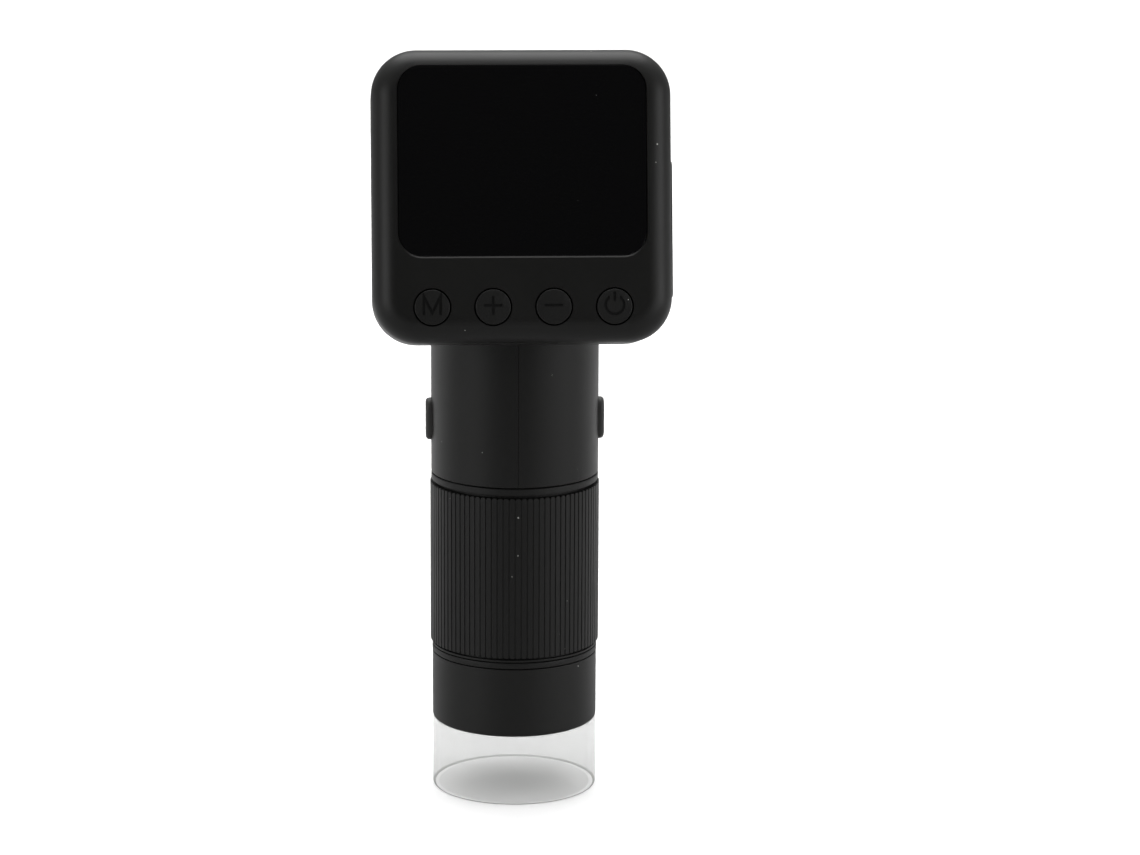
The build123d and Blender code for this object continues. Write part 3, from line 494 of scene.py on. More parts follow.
def moulded_grain_group() -> Tree:
    """Build the group that gives the fine grain of a moulded surface.

    Returns:
        A group with Height, and Haze, a slow change from 0 to 1.
    """
    group = bpy.data.node_groups.new("moulded_grain", "ShaderNodeTree")
    group_socket(group, "Vector", "Vector", "INPUT")
    group_socket(group, "Grains per metre", "Float", "INPUT", 4000)
    group_socket(group, "Height", "Float", "OUTPUT")
    group_socket(group, "Haze", "Float", "OUTPUT")
    start = group.nodes.new("NodeGroupInput")
    end = group.nodes.new("NodeGroupOutput")
    vector = start.outputs["Vector"]
    density = start.outputs["Grains per metre"]
    fine = noise(group, vector, density, 2)
    coarse = noise(group, vector, maths(group, "MULTIPLY", density, COARSE_SHARE), 1)
    group.links.new(maths(group, "ADD", fine, coarse), end.inputs["Height"])
    group.links.new(noise(group, vector, HAZE_PER_METRE, 3), end.inputs["Haze"])
    return group


def dust_group() -> Tree:
    """Build the group that scatters specks of dust.

    Returns:
        A group with a Mask that is 1 on a speck and 0 elsewhere.
    """
    group = bpy.data.node_groups.new("dust_specks", "ShaderNodeTree")
    group_socket(group, "Vector", "Vector", "INPUT")
    group_socket(group, "Specks per metre", "Float", "INPUT", 300)
    group_socket(group, "Speck size", "Float", "INPUT", 0.03)
    group_socket(group, "Mask", "Float", "OUTPUT")
    start = group.nodes.new("NodeGroupInput")
    end = group.nodes.new("NodeGroupOutput")
    cells = group.nodes.new("ShaderNodeTexVoronoi")
    group.links.new(start.outputs["Vector"], cells.inputs["Vector"])
    group.links.new(start.outputs["Specks per metre"], cells.inputs["Scale"])
    chance = group.nodes.new("ShaderNodeSeparateColor")
    group.links.new(cells.outputs["Color"], chance.inputs["Color"])
    size = maths(group, "MULTIPLY", start.outputs["Speck size"], chance.outputs["Green"])
    near = maths(group, "LESS_THAN", cells.outputs["Distance"], size)
    chosen = maths(group, "GREATER_THAN", chance.outputs["Red"], BARE_SHARE)
    group.links.new(maths(group, "MULTIPLY", near, chosen), end.inputs["Mask"])
    return group


class Effects:
    """The shader groups that several finishes share, each built once."""

    def __init__(self) -> None:
        """Build the groups."""
        self.grain = moulded_grain_group()
        self.dust = dust_group()


@dataclass
class Recipe:
    """A material under construction: its tree, its shader and its object coordinates."""

    effects: Effects | None
    material: bpy.types.Material
    tree: Tree
    shader: bpy.types.Node
    place: Socket

    @classmethod
    def start(cls, name: str, effects: Effects | None = None) -> "Recipe":
        """Start a material with a Principled shader that reads Object coordinates.

        Args:
            name: The material's name.
            effects: The shared shader groups, where the material uses them.

        Returns:
            The material under construction.
        """
        material = bpy.data.materials.new(name)
        material.use_nodes = True
        tree = material.node_tree
        place = tree.nodes.new("ShaderNodeTexCoord").outputs["Object"]
        return cls(effects, material, tree, tree.nodes["Principled BSDF"], place)

    def use(self, group: Tree, **values: float) -> bpy.types.NodeOutputs:
        """Place a shared group that reads the object's coordinates.

        Args:
            group: The shared group.
            values: Its numbers, by socket name with spaces as underscores.

        Returns:
            The group's outputs.
        """
        node = self.tree.nodes.new("ShaderNodeGroup")
        node.node_tree = group
        self.tree.links.new(self.place, node.inputs["Vector"])
        for name, value in values.items():
            node.inputs[name.replace("_", " ")].default_value = value
        return node.outputs

    def grain(self, density: float) -> bpy.types.NodeOutputs:
        """Place the shared grain, and return its Height and its Haze."""
        return self.use(self.effects.grain, Grains_per_metre=density)

    def dusted(
        self, colour: Colour | Socket, density: float, size: float, dust: Colour
    ) -> Socket:
        """Scatter the shared dust over a colour.

        Args:
            colour: The clean colour, or a socket that gives it.
            density: How many cells a metre has that may hold a speck.
            size: How large a speck may be, as a share of its cell.
            dust: The specks' colour.

        Returns:
            The dusty colour.
        """
        specks = self.use(self.effects.dust, Specks_per_metre=density, Speck_size=size)
        return self.mixed(specks["Mask"], colour, dust)

    def gloss(self, haze: Socket, low: float, high: float) -> None:
        """Let the roughness run between two values, by a haze that runs from 0 to 1."""
        span = maths(self.tree, "MULTIPLY", haze, high - low)
        self.feed("Roughness", maths(self.tree, "ADD", span, low))

    def bump(self, height: Socket, distance: float, strength: float = 1.0) -> None:
        """Feed a height into the shader's normal.

        Args:
            height: The height, from 0 to 1.
            distance: How high 1 stands.
            strength: How much of it shows.
        """
        node = self.tree.nodes.new("ShaderNodeBump")
        node.inputs["Distance"].default_value = distance
        node.inputs["Strength"].default_value = strength
        self.tree.links.new(height, node.inputs["Height"])
        self.feed("Normal", node.outputs["Normal"])

    def mixed(self, factor: Socket, first: Colour | Socket, second: Colour | Socket) -> Socket:
        """Mix two colours by a factor.

        Args:
            factor: 0 for the first colour, 1 for the second.
            first: A colour, or a socket that gives one.
            second: A colour, or a socket that gives one.

        Returns:
            The mixed colour.
        """
        node = self.tree.nodes.new("ShaderNodeMix")
        node.data_type = "RGBA"
        self.tree.links.new(factor, node.inputs["Factor"])
        for name, value in (("A", first), ("B", second)):
            socket = [one for one in node.inputs if one.name == name and one.type == "RGBA"][0]
            given = isinstance(value, Socket)
            feed(self.tree, value if given else (*value, 1), socket)
        return [one for one in node.outputs if one.type == "RGBA"][0]

    def feed(self, socket: str, value: Socket) -> None:
        """Link a value to one of the shader's sockets."""
        self.tree.links.new(value, self.shader.inputs[socket])

    def fix(self, **values: float) -> None:
        """Set constants on the shader's own sockets, by name with spaces as underscores."""
        for name, value in values.items():
            self.shader.inputs[name.replace("_", " ")].default_value = value


# ---------------------------------------------------------------- finishes


@dataclass(frozen=True)
class Finish:
    """A finish by name and main colour; each kind of finish dresses its own shader."""

    name: str
    colour: Colour

    def material(self, effects: Effects) -> bpy.types.Material:
        """Build the material.

        Args:
            effects: The shared shader groups.

        Returns:
            The material.
        """
        recipe = Recipe.start(self.name, effects)
        self.dress(recipe)
        return recipe.material

    def dress(self, recipe: Recipe) -> None:
        """Feed the shader of a material under construction."""
        raise NotImplementedError


@dataclass(frozen=True)
class SunkMarkShade:
    """Painted shade: a darker tone in what is cut below a flat face, found by the face's height along a direction.
    """

    direction: Vector
    face: float
    depth: float
    colour: Colour

    def painted_shade_in_marks(self, recipe: Recipe, colour: Socket) -> Socket:
        """Paint shade into what lies below the marked face.

        Args:
            recipe: The material under construction.
            colour: The colour of the face.

        Returns:
            The colour, with painted shade in the marks.
        """
        level = recipe.tree.nodes.new("ShaderNodeVectorMath")
        level.operation = "DOT_PRODUCT"
        level.inputs[1].default_value = self.direction
        recipe.tree.links.new(recipe.place, level.inputs[0])
        # painted shade: everything sunk below the face takes the darker colour, where a recess would be shaded
        floor = self.face - self.depth / 2
        sunk = maths(recipe.tree, "LESS_THAN", level.outputs["Value"], floor)
        return recipe.mixed(sunk, colour, self.colour)


@dataclass(frozen=True)
class MouldedPlastic(Finish):
    """Moulded plastic with a fine spark-eroded grain and a little dust."""

    shade: Colour
    roughness: float
    grain_density: float = 4200.0
    grain_height: float = 0.006 * MM
    unevenness: float = 0.04
    dust_density: float = 300.0
    dust_size: float = 0.055
    dust_colour: Colour = (0.42, 0.42, 0.4)
    marks: SunkMarkShade | None = None

    def dress(self, recipe: Recipe) -> None:
        """Feed the shader: two tones, dust, and painted shade in sunk marks where the piece has them.

        Args:
            recipe: The material under construction.
        """
        grain = recipe.grain(self.grain_density)
        colour = recipe.mixed(grain["Haze"], self.shade, self.colour)
        if self.marks:
            colour = self.marks.painted_shade_in_marks(recipe, colour)
        dusty = recipe.dusted(colour, self.dust_density, self.dust_size, self.dust_colour)
        recipe.feed("Base Color", dusty)
        rough = self.roughness
        recipe.gloss(grain["Haze"], rough - self.unevenness, rough + self.unevenness)
        recipe.bump(grain["Height"], self.grain_height)


@dataclass(frozen=True)
class ThinSkin:
    """How much the skins of a thin clear cup hide: its outside, its inside and its foot."""

    outside_from: float
    neck_from: float
    outside_cover: float
    inside_cover: float
    foot_height: float
    foot_cover: float
    light_passed: float = 0.7

    def opacity(self, recipe: Recipe) -> Socket:
        """Build the opacity; most light passes through to what the wall would shade.

        Args:
            recipe: The material under construction.

        Returns:
            The opacity, from 0 to 1.
        """
        tree = recipe.tree
        parts = separated(tree, recipe.place)
        flat = tree.nodes.new("ShaderNodeCombineXYZ")
        for axis in "XY":
            tree.links.new(parts[axis], flat.inputs[axis])
        distance = tree.nodes.new("ShaderNodeVectorMath")
        distance.operation = "LENGTH"
        tree.links.new(flat.outputs["Vector"], distance.inputs[0])
        wide = maths(tree, "GREATER_THAN", distance.outputs["Value"], self.outside_from)
        high = maths(tree, "GREATER_THAN", parts["Z"], self.neck_from)
        outside = maths(tree, "MAXIMUM", wide, high)
        at_foot = maths(tree, "LESS_THAN", parts["Z"], self.foot_height)
        extra = maths(tree, "MULTIPLY", at_foot, self.foot_cover - self.outside_cover)
        cover = maths(tree, "ADD", extra, self.outside_cover - self.inside_cover)
        layered = maths(tree, "ADD", maths(tree, "MULTIPLY", outside, cover), self.inside_cover)
        rays = tree.nodes.new("ShaderNodeLightPath")
        passed = maths(tree, "MULTIPLY", rays.outputs["Is Shadow Ray"], self.light_passed)
        return maths(tree, "MULTIPLY", layered, maths(tree, "SUBTRACT", 1.0, passed))


@dataclass(frozen=True)
class ClearPlastic(Finish):
    """Clear moulded plastic: solid glass, or a thin wall that only tints what is behind it."""

    roughness: float
    ior: float = 1.49
    waviness: float = 0.004 * MM
    pale: Colour = (1.0, 1.0, 1.0)
    grain_density: float = 700.0
    unevenness: float = 0.4
    skin: ThinSkin | None = None

    def dress(self, recipe: Recipe) -> None:
        """Feed the shader: faint waves, and a thin wall's opacity where it has one.

        Args:
            recipe: The material under construction.
        """
        haze = recipe.grain(self.grain_density)["Haze"]
        recipe.feed("Base Color", recipe.mixed(haze, self.colour, self.pale))
        spread = self.roughness * self.unevenness
        recipe.gloss(haze, self.roughness - spread, self.roughness + spread)
        recipe.bump(haze, self.waviness)
        recipe.fix(Transmission_Weight=0.0 if self.skin else 1.0, IOR=self.ior)
        if self.skin:
            recipe.feed("Alpha", self.skin.opacity(recipe))


@dataclass(frozen=True)
class DarkGlass(Finish):
    """Polished dark glass or tinted plastic, with faint smears and a little dust."""

    roughness: float
    grain_density: float = 600.0
    unevenness: float = 0.5
    dust_density: float = 260.0
    dust_size: float = 0.018
    dust_colour: Colour = (0.3, 0.3, 0.3)

    def dress(self, recipe: Recipe) -> None:
        """Feed the shader: an even tone with dust, and smears in its gloss.

        Args:
            recipe: The material under construction.
        """
        dusty = recipe.dusted(self.colour, self.dust_density, self.dust_size, self.dust_colour)
        recipe.feed("Base Color", dusty)
        spread = self.roughness * self.unevenness
        haze = recipe.grain(self.grain_density)["Haze"]
        recipe.gloss(haze, self.roughness - spread, self.roughness + spread)


@dataclass(frozen=True)
class Metal(Finish):
    """Plated or turned metal with fine tool marks."""

    shade: Colour
    roughness: float
    wear: float = 0.15
    grain_density: float = 9000.0
    grain_height: float = 0.001 * MM

    def dress(self, recipe: Recipe) -> None:
        """Feed the shader: two tones, duller where it is worn.

        Args:
            recipe: The material under construction.
        """
        grain = recipe.grain(self.grain_density)
        recipe.feed("Base Color", recipe.mixed(grain["Haze"], self.shade, self.colour))
        recipe.gloss(grain["Haze"], self.roughness, self.roughness + self.wear)
        recipe.bump(grain["Height"], self.grain_height)
        recipe.fix(Metallic=1.0)


@dataclass(frozen=True)
class Lacquer(Finish):
    """Lacquered board with paler traces under the lacquer."""

    trace: Colour
    roughness: Point2 = (0.25, 0.4)
    grain_density: float = 2500.0
    cells_per_metre: float = 420.0
    traces_per_cell: float = 5.0
    bare_share: float = 0.6
    trace_height: float = 0.01 * MM
    trace_strength: float = 0.5

    def dress(self, recipe: Recipe) -> None:
        """Feed the shader: traces that step round the cells of a pattern.

        Args:
            recipe: The material under construction.
        """
        tree = recipe.tree
        cells = tree.nodes.new("ShaderNodeTexVoronoi")
        cells.distance = "MANHATTAN"
        cells.inputs["Scale"].default_value = self.cells_per_metre
        tree.links.new(recipe.place, cells.inputs["Vector"])
        rings = maths(tree, "MULTIPLY", cells.outputs["Distance"], self.traces_per_cell)
        traced = maths(tree, "GREATER_THAN", maths(tree, "FRACT", rings), self.bare_share)
        recipe.feed("Base Color", recipe.mixed(traced, self.colour, self.trace))
        recipe.gloss(recipe.grain(self.grain_density)["Haze"], *self.roughness)
        recipe.bump(traced, self.trace_height, self.trace_strength)


@dataclass(frozen=True)
class Film(Finish):
    """Polyimide film with copper tracks that run along it."""

    track: Colour
    roughness: Point2 = (0.25, 0.4)
    grain_density: float = 2000.0
    pitch: float = 0.8 * MM
    bare_share: float = 0.5

    def dress(self, recipe: Recipe) -> None:
        """Feed the shader: tracks side by side across the film.

        Args:
            recipe: The material under construction.
        """
        tree = recipe.tree
        across = maths(tree, "MULTIPLY", separated(tree, recipe.place)["X"], 1 / self.pitch)
        tracked = maths(tree, "GREATER_THAN", maths(tree, "FRACT", across), self.bare_share)
        recipe.feed("Base Color", recipe.mixed(tracked, self.colour, self.track))
        recipe.gloss(recipe.grain(self.grain_density)["Haze"], *self.roughness)


def head_direction() -> Vector:
    """Return the direction out of the head's face, against which its buttons are pressed."""
    return -joint_axis("mode_press")


def black_plastics() -> dict[str, Finish]:
    """List the dark finishes of the pieces that show.

    Returns:
        The finishes by slot.
    """
    # painted shade in the buttons' sunk marks: a darker black below the face
    marks = SunkMarkShade(
        direction=head_direction(),
        face=reach("button_plus", head_direction())[1],
        depth=0.2 * MM,
        colour=(0.0016, 0.0016, 0.0016),
    )
    return {
        "shell_black": MouldedPlastic(
            "satin_black_shell", (0.0055, 0.0055, 0.005), (0.0044, 0.0044, 0.0041), 0.42
        ),
        "ring_black": MouldedPlastic(
            "satin_black_ring", (0.006, 0.006, 0.0056), (0.0048, 0.0048, 0.0045), 0.45
        ),
        # the keys' black is about eight times lighter than the shell's: painted sheen for the light their sides
        # catch
        "key_black": MouldedPlastic(
            "satin_black_key_painted_sheen", (0.045, 0.045, 0.043), (0.037, 0.037, 0.036), 0.4
        ),
        "button_black": MouldedPlastic(
            "satin_black_button", (0.0075, 0.0075, 0.0071), (0.0062, 0.0062, 0.0059), 0.45,
            marks=marks,
        ),
        "panel_black": MouldedPlastic(
            "satin_black_panel", (0.018, 0.018, 0.018), (0.014, 0.014, 0.014), 0.4
        ),
        "inner_black": MouldedPlastic(
            "matte_black_inside", (0.012, 0.012, 0.012), (0.009, 0.009, 0.009), 0.7
        ),
        "foam_black": MouldedPlastic(
            "foam_gasket", (0.03, 0.03, 0.03), (0.02, 0.02, 0.02), 0.95, 2500, 0.05 * MM
        ),
    }


def clean_plastics() -> dict[str, Finish]:
    """List the plastics of the closed inside, where no dust gets.

    Returns:
        The finishes by slot.
    """
    kinds = {
        "tray_white": ("white_tray", (0.75, 0.75, 0.73), (0.68, 0.68, 0.66), 0.55),
        "reflector_white": ("white_reflector", (0.85, 0.85, 0.84), (0.78, 0.78, 0.77), 0.5),
        "washer_white": ("nylon_washer", (0.8, 0.8, 0.78), (0.72, 0.72, 0.7), 0.3),
        "cradle_grey": ("grey_cradle", (0.2, 0.2, 0.2), (0.16, 0.16, 0.16), 0.55),
        "chip_black": ("chip_package", (0.03, 0.03, 0.032), (0.022, 0.022, 0.024), 0.6),
        "switch_black": ("switch_case", (0.05, 0.05, 0.05), (0.04, 0.04, 0.04), 0.5),
        "lead_red": ("lead_insulation", (0.5, 0.03, 0.03), (0.42, 0.02, 0.02), 0.45),
        "cell_wrap": ("cell_sleeve", (0.1, 0.25, 0.5), (0.08, 0.2, 0.42), 0.28, 900, 0.004 * MM),
    }
    return {slot: MouldedPlastic(*kind, dust_size=0.0) for slot, kind in kinds.items()}


def other_finishes() -> dict[str, Finish]:
    """List the clear, polished, metal and printed finishes.

    Returns:
        The finishes by slot.
    """
    skin = ThinSkin(
        outside_from=radius_of("hood") - 0.5 * MM,
        neck_from=levels("lower_barrel")[0] + 0.3 * MM,
        outside_cover=0.35,
        inside_cover=0.01,
        foot_height=0.26 * MM,
        foot_cover=0.8,
    )
    return {
        "clear_hood": ClearPlastic(
            "clear_hood_plastic", (0.55, 0.565, 0.545), 0.12,
            waviness=0.0005 * MM, pale=(0.61, 0.62, 0.605), skin=skin,
        ),
        "disc_clear": ClearPlastic("clear_disc_plastic", (0.97, 0.98, 0.98), 0.03),
        "lamp_clear": ClearPlastic("lamp_epoxy", (0.98, 0.95, 0.8), 0.15),
        "lens_glass": ClearPlastic("lens_glass", (0.93, 0.96, 1.0), 0.01, 1.52, 0.0),
        "window_dark": DarkGlass("dark_window", (0.0024, 0.0024, 0.0026), 0.05),
        "display_dark": DarkGlass("display_surface", (0.01, 0.01, 0.014), 0.08),
        "sensor_dark": DarkGlass("sensor_cover", (0.03, 0.035, 0.05), 0.05),
        "ring_metal": Metal("black_anodised", (0.09, 0.09, 0.1), (0.06, 0.06, 0.07), 0.35),
        "pin_brass": Metal("turned_brass", (0.72, 0.55, 0.26), (0.6, 0.44, 0.2), 0.25),
        "socket_steel": Metal("bright_steel", (0.62, 0.62, 0.63), (0.5, 0.5, 0.52), 0.2),
        "screw_steel": Metal("plated_screw", (0.5, 0.5, 0.5), (0.38, 0.38, 0.4), 0.3),
        "board_green": Lacquer("green_lacquer", (0.02, 0.13, 0.05), (0.04, 0.22, 0.08)),
        "cable_amber": Film("amber_film", (0.45, 0.2, 0.03), (0.6, 0.32, 0.1)),
    }


class Wardrobe:
    """The materials of all slots, made once and handed out by slot."""

    def __init__(self) -> None:
        """Build every material."""
        effects = Effects()
        palette = black_plastics() | clean_plastics() | other_finishes()
        self.materials = {slot: finish.material(effects) for slot, finish in palette.items()}

    def __getitem__(self, slot: str) -> bpy.types.Material:
        """Return the material of a slot."""
        return self.materials[slot]

    def dress_solids(self) -> None:
        """Give each CAD node that still shows the material of its slot."""
        for entry in frame["record"]["subparts"]:
            mesh = frame["nodes"][entry["node"]].data
            mesh.materials.clear()
            mesh.materials.append(self[entry["material_slot"]])


# ---------------------------------------------------------------- the tube's lower end


@dataclass
class Hood:
    """The clear cup that the microscope stands on."""

    outer_r: float = 16.45 * MM
    wall: float = 1.5 * MM
    shoulder: float = 1.6 * MM
    spigot_r: float = 14.93 * MM
    spigot_wall: float = 1.4 * MM
    rim_round: float = 0.42 * MM
    inner_round: float = 0.25 * MM
    shoulder_round: float = 0.5 * MM

    def build(self, wardrobe: Wardrobe) -> None:
        """Build the cup and dress it.

        Args:
            wardrobe: Where the finish comes from.
        """
        low, high = levels("hood")
        top = levels("lower_barrel")[0]
        bore = self.outer_r - self.wall
        throat = self.spigot_r - self.spigot_wall
        outline = [
            Corner(bore, low, self.inner_round),
            Corner(self.outer_r, low, self.rim_round),
            Corner(self.outer_r, top, self.inner_round),
            Corner(self.spigot_r, top),
            Corner(self.spigot_r, high, self.inner_round),
            Corner(throat, high, self.inner_round),
            Corner(throat, top - self.shoulder, self.inner_round),
            Corner(bore, top - self.shoulder, self.shoulder_round),
        ]
        role = Role("clear_hood", "hood", "clear_hood", ("hood",))
        finished(turned(outline), role, wardrobe)


@dataclass
class LowerBarrel:
    """The plain black barrel between the hood and the focus ring."""

    wall: float = 1.5 * MM
    foot_round: float = 0.9 * MM
    top_round: float = 0.18 * MM

    def build(self, wardrobe: Wardrobe) -> None:
        """Build the barrel and dress it.

        Args:
            wardrobe: Where the finish comes from.
        """
        low, high = levels("lower_barrel")
        outer = radius_of("lower_barrel")
        bore = outer - self.wall
        inner = bore_of("lower_barrel")
        floor = levels("lamp_board")[1]
        outline = [
            Corner(bore, low, self.top_round),
            Corner(outer, low, self.foot_round),
            Corner(outer, high, self.top_round),
            Corner(inner, high, self.top_round),
            Corner(inner, floor),
            Corner(bore, floor),
        ]
        role = Role("lower_barrel_shell", "body", "shell_black", ("lower_barrel",))
        finished(turned(outline), role, wardrobe)


# ---------------------------------------------------------------- focus ring


@dataclass
class FocusRing:
    """The ribbed ring that is turned to focus, with its band and its trim ring."""

    rib_count: int = 90
    crest_r: float = 16.9 * MM
    base_r: float = 16.55 * MM
    wall: float = 1.5 * MM
    fit: float = 0.05 * MM
    floor_r: float = 16.74 * MM
    neck_r: float = 15.9 * MM
    neck: float = 0.42 * MM
    core_neck: float = 0.55 * MM
    rib_width: float = 0.97 * MM
    rib_end_round: float = 0.34 * MM
    rib_edge_round: float = 0.08 * MM
    rib_root: float = 0.3 * MM
    plain_end: float = 0.9 * MM
    base_round: float = 0.15 * MM
    band_round: float = 0.25 * MM
    trim_round: float = 0.2 * MM
    trim_bore: float = 14.2 * MM

    def rib(self, low: float, high: float) -> BMesh:
        """Build one rib, with arched ends, at the front of the ring.

        Args:
            low: The rib's lower end.
            high: The rib's upper end.

        Returns:
            The closed rib.
        """
        bm = bmesh.new()
        inner = self.floor_r - self.rib_root
        size = Matrix.Diagonal((self.rib_width, self.crest_r - inner, high - low, 1))
        place = Matrix.Translation((0, -(self.crest_r + inner) / 2, (low + high) / 2))
        bmesh.ops.create_cube(bm, size=1, matrix=place @ size)
        radial = [
            edge for edge in bm.edges if abs(edge.verts[0].co.y - edge.verts[1].co.y) > NEAR
        ]
        rounded(bm, radial, self.rib_end_round, 3)
        crest = edges_where(bm, lambda place: abs(place.y + self.crest_r) < NEAR / 4)
        rounded(bm, crest, self.rib_edge_round, 2)
        return bm

    def grip(self) -> BMesh:
        """Build the sleeve with all its ribs.

        Returns:
            The sleeve and ribs in one mesh.
        """
        low, high = levels("focus_grip")
        bore = self.base_r - self.wall
        foot = low + self.plain_end
        sleeve = turned([
            Corner(bore, low),
            Corner(self.base_r, low, self.base_round),
            Corner(self.base_r, foot - self.neck, self.base_round / 2),
            Corner(self.neck_r, foot - self.neck),
            Corner(self.neck_r, foot),
            Corner(self.floor_r, foot + self.rib_end_round),
            Corner(self.floor_r, high - self.rib_end_round),
            Corner(self.neck_r, high),
            Corner(bore, high),
        ])
        rib = self.rib(foot, high)
        bmesh.ops.spin(
            rib,
            geom=rib.verts[:] + rib.edges[:] + rib.faces[:],
            cent=(0, 0, 0),
            axis=(0, 0, 1),
            dvec=(0, 0, 0),
            angle=FULL_TURN * (self.rib_count - 1) / self.rib_count,
            steps=self.rib_count - 1,
            use_merge=False,
            use_duplicate=True,
        )
        return gathered([sleeve, rib])

    def core(self) -> BMesh:
        """Build the core, whose band stands above the grip over a sunk neck.

        Returns:
            The core.
        """
        low, high = levels("ring_core")
        seat = levels("focus_grip")[1]
        bore, outer = bore_of("ring_core"), radius_of("ring_core")
        under_grip = self.base_r - self.wall - self.fit
        return turned([
            Corner(bore, low),
            Corner(under_grip, low),
            Corner(under_grip, seat),
            Corner(self.neck_r, seat),
            Corner(self.neck_r, seat + self.core_neck),
            Corner(outer, seat + self.core_neck, self.base_round),
            Corner(outer, high, self.band_round),
            Corner(bore, high),
        ])

    def trim(self) -> BMesh:
        """Build the thin ring under the grip.

        Returns:
            The ring.
        """
        low, high = levels("trim_ring")
        outer = radius_of("trim_ring")
        return turned([
            Corner(self.trim_bore, low),
            Corner(outer, low, self.trim_round),
            Corner(outer, high, self.trim_round),
            Corner(self.trim_bore, high),
        ])

    def build(self, wardrobe: Wardrobe) -> None:
        """Build the ring's pieces and dress them.

        Args:
            wardrobe: Where the finishes come from.
        """
        for bm, name, node in (
            (self.grip(), "ribbed_grip", "focus_grip"),
            (self.trim(), "trim_band", "trim_ring"),
            (self.core(), "focus_core", "ring_core"),
        ):
            finished(bm, Role(name, "focus_ring", "ring_black", (node,)), wardrobe)


# ---------------------------------------------------------------- upper barrel


@dataclass
class UpperBarrel:
    """The two half shells above the focus ring, and the key in each."""

    wall: float = 1.8 * MM
    seam: float = 0.06 * MM
    foot_round: float = 0.25 * MM
    key_gap: float = 0.12 * MM
    key_round: float = 0.8 * MM
    flange: float = 0.8 * MM
    flange_thickness: float = 0.7 * MM
    boss_r: float = 1.8 * MM
    shank_r: float = 0.78 * MM
    screw_head: float = 1.1 * MM
    screw_gap: float = 0.08 * MM
    neck_hole_r: float = 0.88 * MM
    hole_steps: int = 48

    def side_matrix(self, side: Side, height: float) -> Matrix:
        """Find where a key's own axes lie.

        Args:
            side: The key's side of the tube.
            height: The height of its middle.

        Returns:
            A matrix that turns local Z outwards and local X up.
        """
        outwards = Vector((side.value, 0, 0))
        upwards = Vector((0, 0, 1))
        across = outwards.cross(upwards)
        turn = Matrix((upwards, across, outwards)).transposed().to_4x4()
        return Matrix.Translation((0, 0, height)) @ turn

    def slot(self, width: float, height: float, low: float, high: float) -> Slab:
        """Describe a block with round ends, between two distances from the tube's axis."""
        return Slab(height, width, width / 2 - NEAR / 10, low, high, corner_steps=12, edge_steps=6)

    def along_x(self, side: Side, radius: float, low: float, high: float, spot: Point2) -> BMesh:
        """Build a rod that points outwards, at a place given as Y and Z."""
        bm = rod(radius, low, high, (0, -side.value * spot[0]), self.hole_steps)
        return moved(bm, self.side_matrix(side, spot[1]))

    def with_bosses(self, shell: BMesh, side: Side, outer: float) -> BMesh:
        """Add the screws' bosses to a half shell, and drill it for its screws.

        Args:
            shell: The half shell, which is freed.
            side: The half's side of the tube.
            outer: The tube's outer radius.

        Returns:
            The half shell with bosses and screw holes.
        """
        low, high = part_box("barrel_screws")
        head_r = (high.y - low.y) / 2
        middle = (low.y + high.y) / 2
        spots = [(middle, low.z + head_r), (middle, high.z - head_r)]
        posts = gathered(
            self.along_x(side, self.boss_r, self.seam / 2, outer, spot) for spot in spots
        )
        inside = rod(outer - self.wall / 2, low.z - outer, high.z + outer, (0, 0), TURN_STEPS)
        shell = combined(shell, combined(posts, inside, Join.COMMON), Join.FUSE)
        seat = high.x - self.screw_head
        depth = seat + SPARE if side is Side.RIGHT else self.screw_gap - low.x
        neck = sum(levels("neck_screws")) / 2
        drills = [self.along_x(side, self.shank_r, -SPARE, depth, spot) for spot in spots]
        drills.append(self.along_x(side, self.neck_hole_r, outer / 2, 2 * outer, (0, neck)))
        shell = combined(shell, gathered(drills), Join.CUT)
        if side is Side.LEFT:
            return shell
        bores = [
            self.along_x(side, head_r + self.screw_gap, seat, 2 * outer, spot) for spot in spots
        ]
        return combined(shell, gathered(bores), Join.CUT)

    def half(self, side: Side, key: str, node: str) -> BMesh:
        """Build one half shell, with the hole for its key.

        Args:
            side: The half's side of the tube.
            key: The node of the key in it.
            node: The node that the half stands for.

        Returns:
            The closed half shell.
        """
        low, high = levels(node)
        outer = radius_of(node)
        bore = outer - self.wall
        shell = turned([
            Corner(bore, low),
            Corner(outer, low, self.foot_round),
            Corner(outer, high),
            Corner(bore, high),
        ])
        far = 2 * outer
        parting = Slab(far, 2 * far, 0.01 * far, low - SPARE, high + SPARE)
        away = Matrix.Translation((side.value * (self.seam / 2 - far / 2), 0, 0))
        shell = combined(shell, moved(parting.mesh(), away), Join.CUT)
        width, height, middle = self.key_size(key)
        hole = self.slot(width + 2 * self.key_gap, height + 2 * self.key_gap, bore / 2, far)
        cutter = moved(hole.mesh(), self.side_matrix(side, middle))
        return self.with_bosses(combined(shell, cutter, Join.CUT), side, outer)

    def key_size(self, key: str) -> tuple[float, float, float]:
        """Read a key's visible size off its node.

        Args:
            key: The key's node.

        Returns:
            Its width, its height and the height of its middle.
        """
        low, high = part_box(key)
        width = high.y - low.y - 2 * self.flange
        height = high.z - low.z - 2 * self.flange
        return width, height, (low.z + high.z) / 2

    def key(self, side: Side, node: str) -> BMesh:
        """Build one key with the flange behind it.

        Args:
            side: The key's side of the tube.
            node: The node that it stands for.

        Returns:
            The key's cap and flange in one mesh.
        """
        low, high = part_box(node)
        inner, outer = sorted((abs(low.x), abs(high.x)))
        width, height, middle = self.key_size(node)
        cap = replace(self.slot(width, height, inner, outer), high_round=self.key_round).mesh()
        flange = self.slot(
            width + 2 * self.flange, height + 2 * self.flange, inner, inner + self.flange_thickness
        ).mesh()
        whole = combined(cap, flange, Join.FUSE)
        return moved(whole, self.side_matrix(side, middle))

